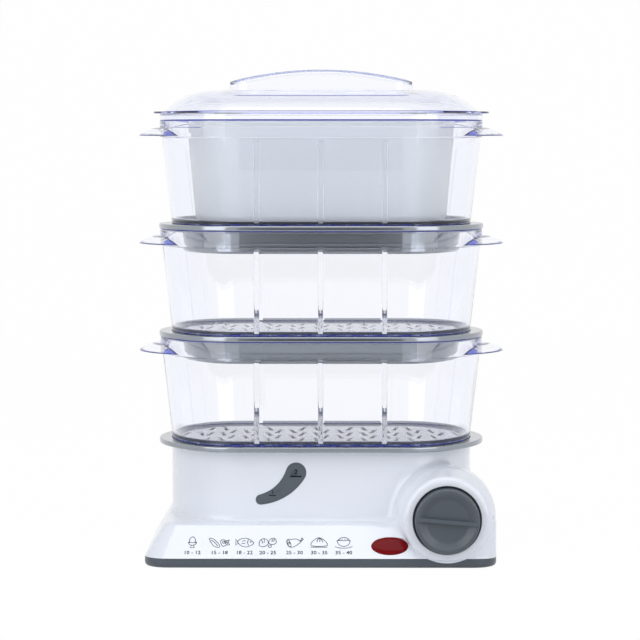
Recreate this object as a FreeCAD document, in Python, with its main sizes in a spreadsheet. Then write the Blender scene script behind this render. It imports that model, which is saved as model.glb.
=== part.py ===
"""Three-tier electric food steamer, as a parametric FreeCAD document.

Millimetres, +Z up. The origin is on the table, under the middle of the stack of baskets,
X to the right and -Y towards the user, who faces the knob.

The model reads from the table up: the base with its heater and clockwork timer, then the loose
stack of steam ring, drip tray, baskets, adapter collars, rice bowl and lid.
"""
import FreeCAD, Part
import math
import os
import re
import Sketcher

doc = FreeCAD.newDocument("FoodSteamer")
sizes = doc.addObject("Spreadsheet::Sheet", "Sizes")
levels = doc.addObject("Spreadsheet::Sheet", "Levels")

# ---------------------------------------------------------------- driving dimensions
DRIVING = {
    "Plan shared by every tier": {
        "rim_half_width": 136, "rim_half_depth": 97, "corner_radius": 55, "end_arc_angle": 40.3,
    },
    "Basket": {
        "basket_height": 86.4, "rim_band_height": 14, "band_inset": 0.8, "ledge_inset": 2.5,
        "foot_inset": 10.8, "basket_wall": 2.2, "rim_wall": 2, "basket_floor": 2, "corner_fill": 2.5,
        "rib_width": 4.5, "rib_depth": 1.6, "rib_spacing": 52, "rib_gap_to_ledge": 2,
        "rib_chamfer": 2, "rib_bury": 0.4,
    },
    "Slots in the basket floor": {
        "slot_length": 30, "slot_width": 3.4, "slot_tilt": 8, "slot_offset": 5.8,
        "column_pitch": 19.6, "row_pitch": 42,
    },
    "Visor grips of the basket": {
        "visor_reach": 17.4, "visor_radius": 73.7, "visor_lift": 1.2, "visor_rise": 7.8,
        "visor_thickness": 1.8, "visor_depth": 22, "visor_shoulder": 10, "visor_shoulder_rise": 5.8,
    },
    "Flange of collar and tray": {
        "flange_thickness": 4.2, "flange_bevel": 0.9, "seat_depth": 0.8, "seat_clearance": 0.6,
    },
    "Collar": {
        "collar_skirt_inset": 19, "collar_skirt_depth": 19, "collar_step_height": 12.6,
        "collar_step": 0.8, "collar_wall": 2.4, "collar_lip": 1.2, "collar_lip_bevel": 1.6,
        "bead_height": 2, "bead_width": 1.8, "bead_clearance": 0.6,
    },
    "Drip tray": {
        "dish_clearance": 1.4, "dish_depth": 14, "dish_wall": 2, "chimney_radius": 31,
        "chimney_wall": 2, "chimney_rise": 15.5,
    },
    "Steam ring": {
        "steam_ring_radius": 50, "steam_ring_neck_radius": 36, "steam_ring_wall": 2,
        "steam_ring_gap": 1.4, "steam_ring_neck": 12, "steam_ring_slope": 3, "gate_width": 16,
        "gate_height": 8, "gate_round": 3,
    },
    "Rice bowl": {
        "bowl_height": 78, "bowl_foot_inset": 31, "bowl_rim_inset": 24, "bowl_wall": 1.8,
        "bowl_corner": 6,
    },
    "Lid": {
        "lid_band_height": 5.8, "lid_plate": 1.8, "lid_plate_inset": 0.3, "lid_tab_reach": 4.6,
        "lid_tab_radius": 40, "dome_foot_inset": 5.5, "dome_crown_inset": 38, "dome_height": 17.1,
        "dome_low_inset": 11.5, "dome_low_rise": 5.8, "dome_mid_inset": 19, "dome_mid_rise": 10.9,
        "dome_high_inset": 28, "dome_high_rise": 14.9,
        "lid_wall": 2, "locator_clearance": 0.5, "locator_wall": 1.8, "locator_depth": 6.3,
        "locator_start": 85, "locator_slope": 16, "vent_radius": 2, "vent_spread": 11,
        "vent_reach": 112,
        "grip_half_length": 76.3, "grip_half_depth": 18, "grip_rise": 17.6, "grip_end_rise": 7.8,
        "grip_wall": 2, "grip_end_radius": 16,
    },
    "Base": {
        "foot_proud": 0.4, "pan_top": 8.2, "pan_wall": 2.5, "pan_floor": 2.5, "pan_round": 6.5,
        "base_half_width": 142.6, "base_front": 120, "base_back": 98, "base_corner": 20,
        "shelf_top": 34, "shelf_side_step": 15.6, "shelf_front_step": 22, "shelf_corner": 14,
        "body_inset": 10.5, "housing_top": 91.4, "housing_wall": 2.5,
        "post_radius": 4, "post_from_side": 34.6, "post_from_front": 36, "post_from_back": 20,
        "inner_post_x": 24, "inner_post_from_front": 30,
        "column_height": 12, "column_wall": 2, "column_seat": 2.5, "screw_radius": 1.5,
        "screw_head_radius": 3.4, "screw_head": 2, "screw_bite": 9, "screw_head_fit": 0.4,
        "screw_hole_fit": 0.3, "foot_radius": 8, "foot_thickness": 2.3, "foot_from_side": 18.6,
        "foot_from_end": 19,
    },
    "Boss, timer and knob": {
        "knob_from_side": 40.6, "knob_z": 39.5, "boss_face": 122, "boss_radius": 34.6,
        "boss_swell": 24, "boss_root": 72, "boss_tail_radius": 18, "boss_tail": 26,
        "boss_round": 2, "boss_swell_round": 30, "boss_root_round": 18,
        "knob_recess": 6, "knob_gap": 1.3, "knob_radius": 26.4,
        "knob_height": 16.5, "knob_back_gap": 1.9, "knob_wall": 2.6, "knob_bevel": 1.6,
        "knob_draft": 0.6, "knob_rim": 1.4, "knob_dish": 3.4, "knob_dish_radius": 9,
        "grip_bar_width": 3.6, "grip_bar_proud": 0.6, "grip_bar_angle": 5, "grip_bar_round": 1.4,
        "shaft_radius": 3, "shaft_flat": 2.2, "shaft_fit": 0.06, "shaft_in_timer": 7,
        "shaft_in_knob": 10, "shaft_hole_fit": 1.5, "hub_radius": 6.5, "hub_gap": 1,
        "timer_radius": 22, "timer_depth": 25.5, "bell_radius": 17, "bell_depth": 7,
        "bell_gauge": 1.2, "bell_bevel": 2.5, "bell_stud": 2, "bell_gap": 0.6,
        "timer_screw_radius": 1.3, "timer_screw_head": 1.6, "timer_head_radius": 2.8,
        "timer_screw_bite": 5, "timer_screw_offset": 14,
    },
    "Fits of screws and holes": {
        "thread_fit": 0.02, "small_hole_fit": 0.2, "pilot_spare": 1,
    },
    "Lamp and water window": {
        "lens_from_knob": 46, "lens_half_length": 15, "lens_half_height": 8.4, "lens_proud": 1,
        "lens_depth": 4, "lens_crown_inset": 1.6, "lens_up_slope": 12, "lamp_radius": 2.5,
        "lamp_length": 15,
        "window_top_x": -20, "window_top_z": 74, "window_top_radius": 8.4,
        "window_low_x": -48.7, "window_low_z": 52, "window_low_radius": 4.2,
        "window_outer_radius": 47, "window_inner_radius": 31, "window_proud": 0.4,
        "window_fit": 0.05,
    },
    "Water tank and heater": {
        "tank_floor_z": 30, "tank_wall": 2, "tank_gap": 2.5, "tank_flange": 2,
        "tank_rim_fit": 0.1,
        "tank_hole_radius": 44, "plate_radius": 50, "plate_gauge": 1, "plate_dome_radius": 36,
        "plate_dome_rise": 4, "seal_thickness": 2, "element_ring_radius": 27,
        "element_height": 6, "element_top_width": 8, "element_low_width": 5, "element_arc": 300,
        "pin_radius": 2, "pin_length": 15,
        "clamp_radius": 57, "clamp_gauge": 1.6, "clamp_screw_circle": 53.5,
        "clamp_screw_radius": 1.25, "clamp_screw_head": 1.6, "clamp_head_radius": 2.6,
        "clamp_boss_radius": 3.2, "plate_slope": 5, "clamp_gap": 0.5,
        "thermostat_radius": 8, "thermostat_height": 7, "tab_x": 5, "tab_half_width": 3,
        "tab_gauge": 0.8, "tab_length": 8, "fuse_radius": 2,
        "fuse_length": 14, "fuse_y": 15, "strap_width": 5, "strap_gauge": 0.8, "strap_foot": 1.4,
    },
    "Mains side": {
        "gland_from_side": 72.6, "gland_z": 20, "gland_radius": 6.5, "gland_flange_radius": 9,
        "gland_flange": 3, "gland_bevel": 1, "gland_lip": 1.5, "gland_lip_length": 2,
        "gland_bore": 3.6, "block_length": 28, "block_width": 14,
        "block_height": 16, "block_from_back": 32, "lead_radius": 1.2, "lead_bend": 10, "lead_z": 9,
        "lead_step": 3, "lead_pitch": 8,
    },
}
DERIVED = {
    "tier_seat": "flange_thickness - seat_depth",
    "ledge_height": "basket_height - rim_band_height",
    "wall_slope": "(foot_inset + basket_wall - band_inset - rim_wall)"
                  " / (basket_height - basket_floor - corner_fill)",
    "locator_inset": "band_inset + rim_wall + locator_clearance + locator_depth * wall_slope",
    "end_radius": "corner_radius + (rim_half_depth - corner_radius) / sin(end_arc_angle * 1deg)",
    "lower_basket_z": "housing_top + tier_seat",
    "lower_collar_z": "lower_basket_z + basket_height",
    "middle_basket_z": "lower_collar_z + tier_seat",
    "upper_collar_z": "middle_basket_z + basket_height",
    "upper_basket_z": "upper_collar_z + tier_seat",
    "lid_z": "upper_basket_z + basket_height",
    "pan_inside_z": "foot_proud + pan_floor",
    "shelf_half_width": "base_half_width - shelf_side_step",
    "shelf_front": "base_front - shelf_front_step",
    "panel_tilt": "atan((shelf_top - pan_top) / shelf_front_step) / 1deg",
    "post_x": "base_half_width - post_from_side",
    "post_front": "base_front - post_from_front",
    "post_back": "base_back - post_from_back",
    "inner_post_front": "base_front - inner_post_from_front",
    "foot_x": "base_half_width - foot_from_side",
    "foot_front": "base_front - foot_from_end",
    "foot_back": "base_back - foot_from_end",
    "knob_x": "base_half_width - knob_from_side",
    "boss_root_radius": "knob_from_side",
    "lens_x": "knob_x - lens_from_knob",
    "gland_x": "gland_from_side - base_half_width",
    "block_y": "base_back - block_from_back",
    "recess_floor": "boss_face - knob_recess",
    "timer_face": "recess_floor - housing_wall",
    "knob_back": "recess_floor + knob_back_gap",
    "plate_top": "tank_floor_z - tank_wall - seal_thickness",
    "plate_dome_under": "plate_top + plate_dome_rise - plate_gauge",
    "tank_rim_inset": "body_inset + housing_wall / 2",
    "tank_outer_inset": "body_inset + housing_wall + tank_gap",
    "dish_inset": "tank_outer_inset + tank_wall + dish_clearance",
}

home = {}


def write_sheet(sheet, aliases):
    """One row per value: its name in column A, its value or formula in column B."""
    for row, (alias, cell) in enumerate(aliases, start=1):
        sheet.set(f"A{row}", alias)
        sheet.set(f"B{row}", cell)
        sheet.setAlias(f"B{row}", alias)
        home[alias] = sheet.Name + "."


def full(expression):
    """The expression with Sizes. or Levels. written before each alias."""
    return re.sub(r"[a-z][a-z0-9_]*", lambda word: home.get(word[0], "") + word[0], expression)


def value(expression):
    """What an expression comes to at the present sizes, as a plain number."""
    result = sizes.evalExpression(full(expression))
    return float(getattr(result, "Value", result))


write_sheet(sizes, [(a, str(v)) for group in DRIVING.values() for a, v in group.items()])
for alias in DERIVED:
    home[alias] = "Levels."
write_sheet(levels, [(a, "=" + full(formula)) for a, formula in DERIVED.items()])
doc.recompute()

# ---------------------------------------------------------------- drawing helpers
Vector = FreeCAD.Vector
Constraint = Sketcher.Constraint
UP = Vector(0, 0, 1)
QUARTER = math.pi / 2
SLACK = 0.01
START, END, CENTRE = range(1, 4)
ORIGIN, X_AXIS, Y_AXIS = (-1, 1), -1, -2


def new_body(label, level=None):
    """A body for one sub-part; level is the expression for the height it stands at."""
    body = doc.addObject("PartDesign::Body", label)
    body.Label = label
    if level:
        body.setExpression("Placement.Base.z", full(level))
    return body


def clone(original, label, level):
    """A second body of the same shape, at its own height."""
    body = new_body(label, level)
    body.newObject("PartDesign::FeatureBase", label + "_clone").BaseFeature = original
    return body


def new_sketch(body, name, plane="XY", at=("0", "0", "0"), tilt=None):
    """An empty sketch on one of the body's own planes, moved by three expressions and tilted about X."""
    sketch = body.newObject("Sketcher::SketchObject", name)
    support = next(o for o in body.Origin.OriginFeatures if o.Role == plane + "_Plane")
    sketch.AttachmentSupport = [(support, "")]
    sketch.MapMode = "FlatFace"
    if tilt:
        sketch.AttachmentOffset = FreeCAD.Placement(Vector(), FreeCAD.Rotation(Vector(1, 0, 0), 1))
        sketch.setExpression("AttachmentOffset.Rotation.Angle", full(tilt))
    for axis, amount in zip("xyz", at):
        if amount != "0":
            sketch.setExpression("AttachmentOffset.Base." + axis, full(amount))
    return sketch


def dimension(sketch, constraint, name, expression):
    """Adds a constraint and ties its value to an expression."""
    sketch.renameConstraint(sketch.addConstraint(constraint), name)
    sketch.setExpression("Constraints." + name, full(expression))


def place_point(sketch, geometry, point, name, x, y):
    """Holds one point of the geometry at the expressions x and y."""
    dimension(sketch, Constraint("DistanceX", *ORIGIN, geometry, point, value(x)), name + "_x", x)
    dimension(sketch, Constraint("DistanceY", *ORIGIN, geometry, point, value(y)), name + "_y", y)


def arc(x, y, radius, start, end):
    return Part.ArcOfCircle(Part.Circle(Vector(x, y, 0), UP, radius), start, end)


def sorted_turn(entry, leave, left_turn):
    """Start and end angle of an arc, which always runs anticlockwise."""
    first, last = (entry, leave) if left_turn else (leave, entry)
    return first, last + 4 * QUARTER * (last < first)


def draw_outline(sketch, corners):
    """A closed outline through corners (x, y) or, where it is rounded there, (x, y, radius)."""
    points = [Vector(value(c[0]), value(c[1]), 0) for c in corners]
    radii = [value(c[2]) if len(c) > 2 else 0 for c in corners]
    count = len(corners)
    arrive, leave, bends = [], [], {}
    for k, (point, radius) in enumerate(zip(points, radii)):
        back = (points[k - 1] - point).normalize()
        ahead = (points[(k + 1) % count] - point).normalize()
        trim = radius / math.tan(back.getAngle(ahead) / 2) if radius else 0
        arrive.append(point + back * trim)
        leave.append(point + ahead * trim)
        if radius:
            middle = point + (back + ahead).normalize() * (radius / math.sin(back.getAngle(ahead) / 2))
            left_turn = (-back).cross(ahead).z > 0
            angles = (math.atan2(*(p - middle)[1::-1]) for p in (arrive[k], leave[k]))
            bends[k] = arc(middle.x, middle.y, radius, *sorted_turn(*angles, left_turn)), left_turn
    sketch.addGeometry(
        [Part.LineSegment(leave[k], arrive[(k + 1) % count]) for k in range(count)], False
    )
    for k, corner in enumerate(corners):
        before = (k - 1) % count
        if k not in bends:
            sketch.addConstraint(Constraint("Coincident", before, END, k, START))
            place_point(sketch, k, START, f"corner{k}", *corner[:2])
            continue
        bend, left_turn = bends[k]
        enter, leave_at = (START, END) if left_turn else (END, START)
        curve = sketch.addGeometry(bend, False)
        apex = sketch.addGeometry(Part.Point(points[k]), True)
        sketch.addConstraint(Constraint("PointOnObject", apex, START, before))
        sketch.addConstraint(Constraint("PointOnObject", apex, START, k))
        sketch.addConstraint(Constraint("Tangent", before, END, curve, enter))
        sketch.addConstraint(Constraint("Tangent", curve, leave_at, k, START))
        dimension(sketch, Constraint("Radius", curve, radii[k]), f"round{k}", corner[2])
        place_point(sketch, apex, START, f"corner{k}", *corner[:2])


def path_sketch(body, name, stops, radius, level):
    """A route at one level through the stops (x, y): straight runs joined by equal tangent arcs."""
    sketch = new_sketch(body, name, "XY", ("0", "0", level))
    points = [Vector(value(x), value(y), 0) for x, y in stops]
    bend = value(radius)
    runs, start = [], points[0]
    for before, corner, after in zip(points, points[1:], points[2:]):
        back, ahead = (before - corner).normalize(), (after - corner).normalize()
        trim = bend / math.tan(back.getAngle(ahead) / 2)
        runs.append((start, corner + back * trim))
        start = corner + ahead * trim
    runs.append((start, points[-1]))
    sketch.addGeometry([Part.LineSegment(*run) for run in runs], False)
    for k, (first, second) in enumerate(zip(runs, runs[1:])):
        into, out = first[1] - first[0], second[1] - second[0]
        left_turn = into.cross(out).z > 0
        aside = Vector(-into.y, into.x, 0).normalize() * (bend if left_turn else -bend)
        middle = first[1] + aside
        entry, leave = (math.atan2(*(p - middle)[1::-1]) for p in (first[1], second[0]))
        turn = sorted_turn(entry, leave, left_turn)
        curve = sketch.addGeometry(arc(middle.x, middle.y, bend, *turn), False)
        apex = sketch.addGeometry(Part.Point(points[k + 1]), True)
        sketch.addConstraint(Constraint("PointOnObject", apex, START, k))
        sketch.addConstraint(Constraint("PointOnObject", apex, START, k + 1))
        enter, exit_at = (START, END) if left_turn else (END, START)
        sketch.addConstraint(Constraint("Tangent", k, END, curve, enter))
        sketch.addConstraint(Constraint("Tangent", curve, exit_at, k + 1, START))
        dimension(sketch, Constraint("Radius", curve, bend), f"bend{k}", radius)
        place_point(sketch, apex, START, f"corner{k}", *stops[k + 1])
    place_point(sketch, 0, START, "first", *stops[0])
    place_point(sketch, len(runs) - 1, END, "last", *stops[-1])
    return sketch


def outline_sketch(body, name, corners, plane="XY", at=("0", "0", "0"), tilt=None):
    sketch = new_sketch(body, name, plane, at, tilt)
    draw_outline(sketch, corners)
    return sketch


def circle_sketch(body, name, circles, plane="XY", at=("0", "0", "0"), tilt=None):
    """One sketch with full circles (x, y, radius)."""
    sketch = new_sketch(body, name, plane, at, tilt)
    for k, (x, y, radius) in enumerate(circles):
        circle = Part.Circle(Vector(value(x), value(y), 0), UP, value(radius))
        index = sketch.addGeometry(circle, False)
        dimension(sketch, Constraint("Radius", index, value(radius)), f"radius{k}", radius)
        place_point(sketch, index, CENTRE, f"centre{k}", x, y)
    return sketch


def rectangle(half_x, front, back, radius):
    """Corners of a rounded rectangle from -front to +back, symmetric in X."""
    return [
        (f"-({half_x})", f"-({front})", radius), (half_x, f"-({front})", radius),
        (half_x, back, radius), (f"-({half_x})", back, radius),
    ]


def plan_sketch(body, name, inset="0", level="0"):
    """The tiers' plan, drawn inset from the rim: flat front and back, round corners, bowed ends.

    It starts and ends at the middle of the front, where a profile on the YZ plane meets it.
    """
    sketch = new_sketch(body, name, "XY", ("0", "0", level))
    inset_now, bow = value(inset), math.radians(value("end_arc_angle"))
    end_x = value("rim_half_width - end_radius")
    corner_y = value("rim_half_depth - corner_radius")
    corner_x = end_x + value("end_radius - corner_radius") * math.cos(bow)
    corner, end = value("corner_radius") - inset_now, value("end_radius") - inset_now
    y = value("rim_half_depth") - inset_now
    sketch.addGeometry([
        Part.LineSegment(Vector(0, -y, 0), Vector(corner_x, -y, 0)),
        arc(corner_x, -corner_y, corner, -QUARTER, -bow),
        arc(end_x, 0, end, -bow, bow),
        arc(corner_x, corner_y, corner, bow, QUARTER),
        Part.LineSegment(Vector(corner_x, y, 0), Vector(-corner_x, y, 0)),
        arc(-corner_x, corner_y, corner, QUARTER, 2 * QUARTER - bow),
        arc(-end_x, 0, end, 2 * QUARTER - bow, 2 * QUARTER + bow),
        arc(-corner_x, -corner_y, corner, 2 * QUARTER + bow, 3 * QUARTER),
        Part.LineSegment(Vector(-corner_x, -y, 0), Vector(0, -y, 0)),
    ], False)
    front_right, back_line, front_left = 0, 4, 8
    corners, (right_end, left_end) = (1, 3, 5, 7), (2, 6)
    for k in range(front_left):
        sketch.addConstraint(Constraint("Tangent", k, END, k + 1, START))
    sketch.addConstraint(Constraint("Coincident", front_left, END, front_right, START))
    sketch.addConstraint(Constraint("PointOnObject", front_right, START, Y_AXIS))
    for line in (front_right, back_line, front_left):
        sketch.addConstraint(Constraint("Horizontal", line))
    for other in corners[1:]:
        sketch.addConstraint(Constraint("Equal", corners[0], other))
    sketch.addConstraint(Constraint("Equal", right_end, left_end))
    for bowed in (right_end, left_end):
        sketch.addConstraint(Constraint("PointOnObject", bowed, CENTRE, X_AXIS))
    depth, reach = f"rim_half_depth - ({inset})", "rim_half_width - end_radius"
    dimension(sketch, Constraint("DistanceY", front_right, START, *ORIGIN, y), "front", depth)
    dimension(sketch, Constraint("DistanceY", *ORIGIN, back_line, START, y), "back", depth)
    dimension(sketch, Constraint("Radius", corners[0], corner), "corner", f"corner_radius - ({inset})")
    dimension(sketch, Constraint("Radius", right_end, end), "bow", f"end_radius - ({inset})")
    dimension(sketch, Constraint("DistanceX", *ORIGIN, right_end, CENTRE, end_x), "right", reach)
    dimension(sketch, Constraint("DistanceX", left_end, CENTRE, *ORIGIN, end_x), "left", reach)
    return sketch


# ---------------------------------------------------------------- feature helpers
def pad(body, sketch, length, backwards=False, middle=False):
    feature = body.newObject("PartDesign::Pad", sketch.Name + "_pad")
    feature.Profile = sketch
    feature.Reversed = backwards
    feature.Midplane = middle
    feature.setExpression("Length", full(length))
    return feature


def pocket(body, sketch, length, forwards=True, middle=False):
    """Cuts from the sketch towards its own normal, against it, or half of the length each way."""
    feature = body.newObject("PartDesign::Pocket", sketch.Name + "_pocket")
    feature.Profile = sketch
    feature.Reversed = forwards
    feature.Midplane = middle
    feature.setExpression("Length", full(length))
    return feature


def loft(body, sketches, cut=False):
    kind = "SubtractiveLoft" if cut else "AdditiveLoft"
    feature = body.newObject("PartDesign::" + kind, sketches[0].Name + "_loft")
    feature.Profile = sketches[0]
    feature.Sections = sketches[1:]
    feature.Ruled = True
    return feature


def sweep_round_plan(body, name, profile, cut=False):
    """Carries a profile, drawn as (inset, height) corners at the middle of the front, round the plan."""
    corners = [(f"-(rim_half_depth - ({c[0]}))", *c[1:]) for c in profile]
    section = outline_sketch(body, name, corners, "YZ")
    path = plan_sketch(body, name + "_path")
    kind = "SubtractivePipe" if cut else "AdditivePipe"
    feature = body.newObject("PartDesign::" + kind, name + "_sweep")
    feature.Profile = section
    feature.Spine = (path, [])
    feature.Mode = "Standard"
    return feature


def revolve(body, sketch, angle=360, cut=False, middle=False):
    """Turns a sketch about its own vertical axis."""
    kind = "Groove" if cut else "Revolution"
    feature = body.newObject("PartDesign::" + kind, sketch.Name + "_turn")
    feature.Profile = sketch
    feature.ReferenceAxis = (sketch, ["V_Axis"])
    feature.Angle = angle
    feature.Midplane = middle
    return feature


def mirror(body, originals, plane):
    feature = body.newObject("PartDesign::Mirrored", originals[0].Name + "_mirror")
    feature.Originals = originals
    support = next(o for o in body.Origin.OriginFeatures if o.Role == plane + "_Plane")
    feature.MirrorPlane = (support, [""])
    body.Tip = feature
    return feature


def repeat(body, originals, axis, pitch, count, axis2=None, pitch2=None, count2=1):
    """Copies features along one or two axes of the body, at a pitch."""
    feature = body.newObject("PartDesign::LinearPattern", originals[0].Name + "_row")
    feature.Originals = originals
    lines = {o.Role: o for o in body.Origin.OriginFeatures}
    feature.Direction = (lines[axis + "_Axis"], [""])
    feature.Mode = "Spacing"
    feature.Occurrences = count
    feature.setExpression("Offset", full(pitch))
    if axis2:
        feature.Direction2 = (lines[axis2 + "_Axis"], [""])
        feature.Mode2 = "Spacing"
        feature.Occurrences2 = count2
        feature.setExpression("Offset2", full(pitch2))
    body.Tip = feature
    return feature


def circle_pattern(body, originals, count):
    feature = body.newObject("PartDesign::PolarPattern", originals[0].Name + "_circle")
    feature.Originals = originals
    axis = next(o for o in body.Origin.OriginFeatures if o.Role == "Z_Axis")
    feature.Axis = (axis, [""])
    feature.Angle = 360
    feature.Occurrences = count
    body.Tip = feature
    return feature


def round_edges(body, radius, wanted):
    """Fillets the edges of the body so far that the function wanted picks."""
    doc.recompute()
    base = body.Tip
    names = [f"Edge{k}" for k, edge in enumerate(base.Shape.Edges, start=1) if wanted(edge)]
    feature = body.newObject("PartDesign::Fillet", base.Name + "_round")
    feature.Base = (base, names)
    feature.setExpression("Radius", full(radius))
    return feature


# ---------------------------------------------------------------- base: pan, feet, screws
POSTS = [
    ("-post_x", "-post_front"), ("inner_post_x", "-inner_post_front"),
    ("-post_x", "post_back"), ("post_x", "post_back"),
]
FEET = [(f"{side}foot_x", y) for side in ("-", "") for y in ("-foot_front", "foot_back")]


def make_bottom_pan():
    """Dark tray that closes the base from below, with a hollow column under each housing post."""
    body = new_body("bottom_pan")
    edge = outline_sketch(
        body, "pan_edge", rectangle("base_half_width", "base_front", "base_back", "base_corner"),
        at=("0", "0", "foot_proud"),
    )
    pad(body, edge, "pan_top - foot_proud")
    bottom = value("foot_proud")
    round_edges(body, "pan_round", lambda e: e.BoundBox.ZMax < bottom + SLACK)
    inside = rectangle(
        "base_half_width - pan_wall", "base_front - pan_wall", "base_back - pan_wall",
        "base_corner - pan_wall",
    )
    hollow = outline_sketch(body, "pan_inside", inside, at=("0", "0", "pan_inside_z"))
    pocket(body, hollow, "pan_top")
    columns = circle_sketch(
        body, "pan_columns", [(x, y, "screw_head_radius + column_wall") for x, y in POSTS],
        at=("0", "0", "foot_proud"),
    )
    pad(body, columns, "column_height - foot_proud")
    wells = circle_sketch(
        body, "screw_wells", [(x, y, "screw_head_radius + screw_head_fit") for x, y in POSTS]
    )
    pocket(body, wells, "column_height - column_seat")
    holes = circle_sketch(
        body, "screw_holes", [(x, y, "screw_radius + screw_hole_fit") for x, y in POSTS]
    )
    pocket(body, holes, "column_height + column_seat")
    seats = circle_sketch(body, "foot_seats", [(x, y, "foot_radius") for x, y in FEET])
    pocket(body, seats, "foot_thickness")


def make_feet():
    body = new_body("feet")
    body.AllowCompound = True
    discs = circle_sketch(body, "foot_discs", [(x, y, "foot_radius") for x, y in FEET])
    pad(body, discs, "foot_thickness")


def make_base_screws():
    """Four screws that hold the pan to the housing posts from below."""
    body = new_body("base_screws")
    body.AllowCompound = True
    head_z = "column_height - column_seat - screw_head"
    heads = circle_sketch(
        body, "heads", [(x, y, "screw_head_radius") for x, y in POSTS], at=("0", "0", head_z)
    )
    pad(body, heads, "screw_head")
    shanks = circle_sketch(
        body, "shanks", [(x, y, "screw_radius") for x, y in POSTS], at=("0", "0", head_z)
    )
    pad(body, shanks, "screw_head + column_seat + screw_bite")


# ---------------------------------------------------------------- base: housing
def boss_profile(grow, face, tail):
    """Half section (radius, y) of the knob boss, which swells from its face back into the body."""
    return [
        ("0", f"-({face})"), (f"boss_radius + ({grow})", f"-({face})", "boss_round"),
        (f"boss_root_radius + ({grow})", "-(boss_face - boss_swell)", "boss_swell_round"),
        (f"boss_root_radius + ({grow})", "-boss_root", "boss_root_round"),
        (f"boss_tail_radius + ({grow})", f"-({tail})"), ("0", f"-({tail})"),
    ]


def boss_cheek(inset, front, corner):
    """Plan of the cheek under the boss's right half, which carries its side straight down."""
    side = f"base_half_width - {inset}"
    return [
        ("knob_x", f"-({front})"), (side, f"-({front})", corner), (side, "-boss_root", "boss_root_round"),
        (f"knob_x + boss_tail_radius - {inset}", "-boss_tail"), ("knob_x", "-boss_tail"),
    ]


def window_sketch(body, name, fit, depth):
    """The bent drop of the level gauge: two round ends joined by an outer and an inner arc."""
    sketch = new_sketch(body, name, "XZ", ("0", "0", depth))
    top = Vector(value("window_top_x"), value("window_top_z"), 0)
    low = Vector(value("window_low_x"), value("window_low_z"), 0)
    top_radius, low_radius = value(f"window_top_radius + {fit}"), value(f"window_low_radius + {fit}")
    outer, inner = value(f"window_outer_radius + {fit}"), value(f"window_inner_radius - {fit}")

    def centre(reach_top, reach_low):
        """Where the two reaches from the end centres meet, above the gauge."""
        span = low - top
        along = (reach_top**2 - reach_low**2 + span.Length**2) / (2 * span.Length)
        aside = math.sqrt(reach_top**2 - along**2)
        unit = span.normalize()
        return top + unit * along + Vector(unit.y, -unit.x, 0) * aside

    def angle(middle, point):
        return math.atan2(point.y - middle.y, point.x - middle.x)

    outside = centre(outer - top_radius, outer - low_radius)
    inside = centre(inner + top_radius, inner + low_radius)
    turn = 2 * math.pi
    out_low, out_top = angle(outside, low), angle(outside, top)
    in_low, in_top = angle(inside, low), angle(inside, top)
    sketch.addGeometry([
        arc(outside.x, outside.y, outer, out_low, out_top + turn * (out_top < out_low)),
        arc(top.x, top.y, top_radius, out_top, angle(top, inside) + turn * (angle(top, inside) < out_top)),
        arc(inside.x, inside.y, inner, in_low, in_top + turn * (in_top < in_low)),
        arc(low.x, low.y, low_radius, angle(low, inside), out_low + turn * (out_low < angle(low, inside))),
    ], False)
    big, cap, small, foot = range(4)
    sketch.addConstraint(Constraint("Tangent", big, END, cap, START))
    sketch.addConstraint(Constraint("Tangent", cap, END, small, END))
    sketch.addConstraint(Constraint("Tangent", small, START, foot, START))
    sketch.addConstraint(Constraint("Tangent", foot, END, big, START))
    place_point(sketch, cap, CENTRE, "top", "window_top_x", "window_top_z")
    place_point(sketch, foot, CENTRE, "low", "window_low_x", "window_low_z")
    for curve, radius, size in (
        (big, outer, f"window_outer_radius + {fit}"), (cap, top_radius, f"window_top_radius + {fit}"),
        (small, inner, f"window_inner_radius - {fit}"), (foot, low_radius, f"window_low_radius + {fit}"),
    ):
        dimension(sketch, Constraint("Radius", curve, radius), f"radius{curve}", size)
    return sketch


def on_panel(sideways, up_slope, out):
    """Where a sketch on the sloped panel sits: along X, up the slope and out of it."""
    rise, run = "sin(panel_tilt * 1deg)", "cos(panel_tilt * 1deg)"
    return (
        sideways,
        f"-base_front + ({up_slope}) * {run} - ({out}) * {rise}",
        f"pan_top + ({up_slope}) * {rise} + ({out}) * {run}",
    )


LAMP_Y, LAMP_Z = on_panel("lens_x", "lens_up_slope", "-(lens_depth + lamp_radius)")[1:]


def ellipse_on_panel(body, name, grow, out):
    sketch = new_sketch(body, name, "XY", on_panel("lens_x", "lens_up_slope", out), "panel_tilt")
    length, height = value(f"lens_half_length + {grow}"), value(f"lens_half_height + {grow}")
    oval = Part.Ellipse(Vector(length, 0, 0), Vector(0, height, 0), Vector(0, 0, 0))
    index = sketch.addGeometry(oval, False)
    sketch.exposeInternalGeometry(index)
    long_axis, short_axis = index + 1, index + 2
    sketch.addConstraint(Constraint("Coincident", index, CENTRE, *ORIGIN))
    sketch.addConstraint(Constraint("Horizontal", long_axis))
    for line, half, size in ((long_axis, length, "length"), (short_axis, height, "height")):
        dimension(sketch, Constraint("Distance", line, START, line, END, 2 * half), size,
                  f"2 * (lens_half_{size} + {grow})")
    return sketch


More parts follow.
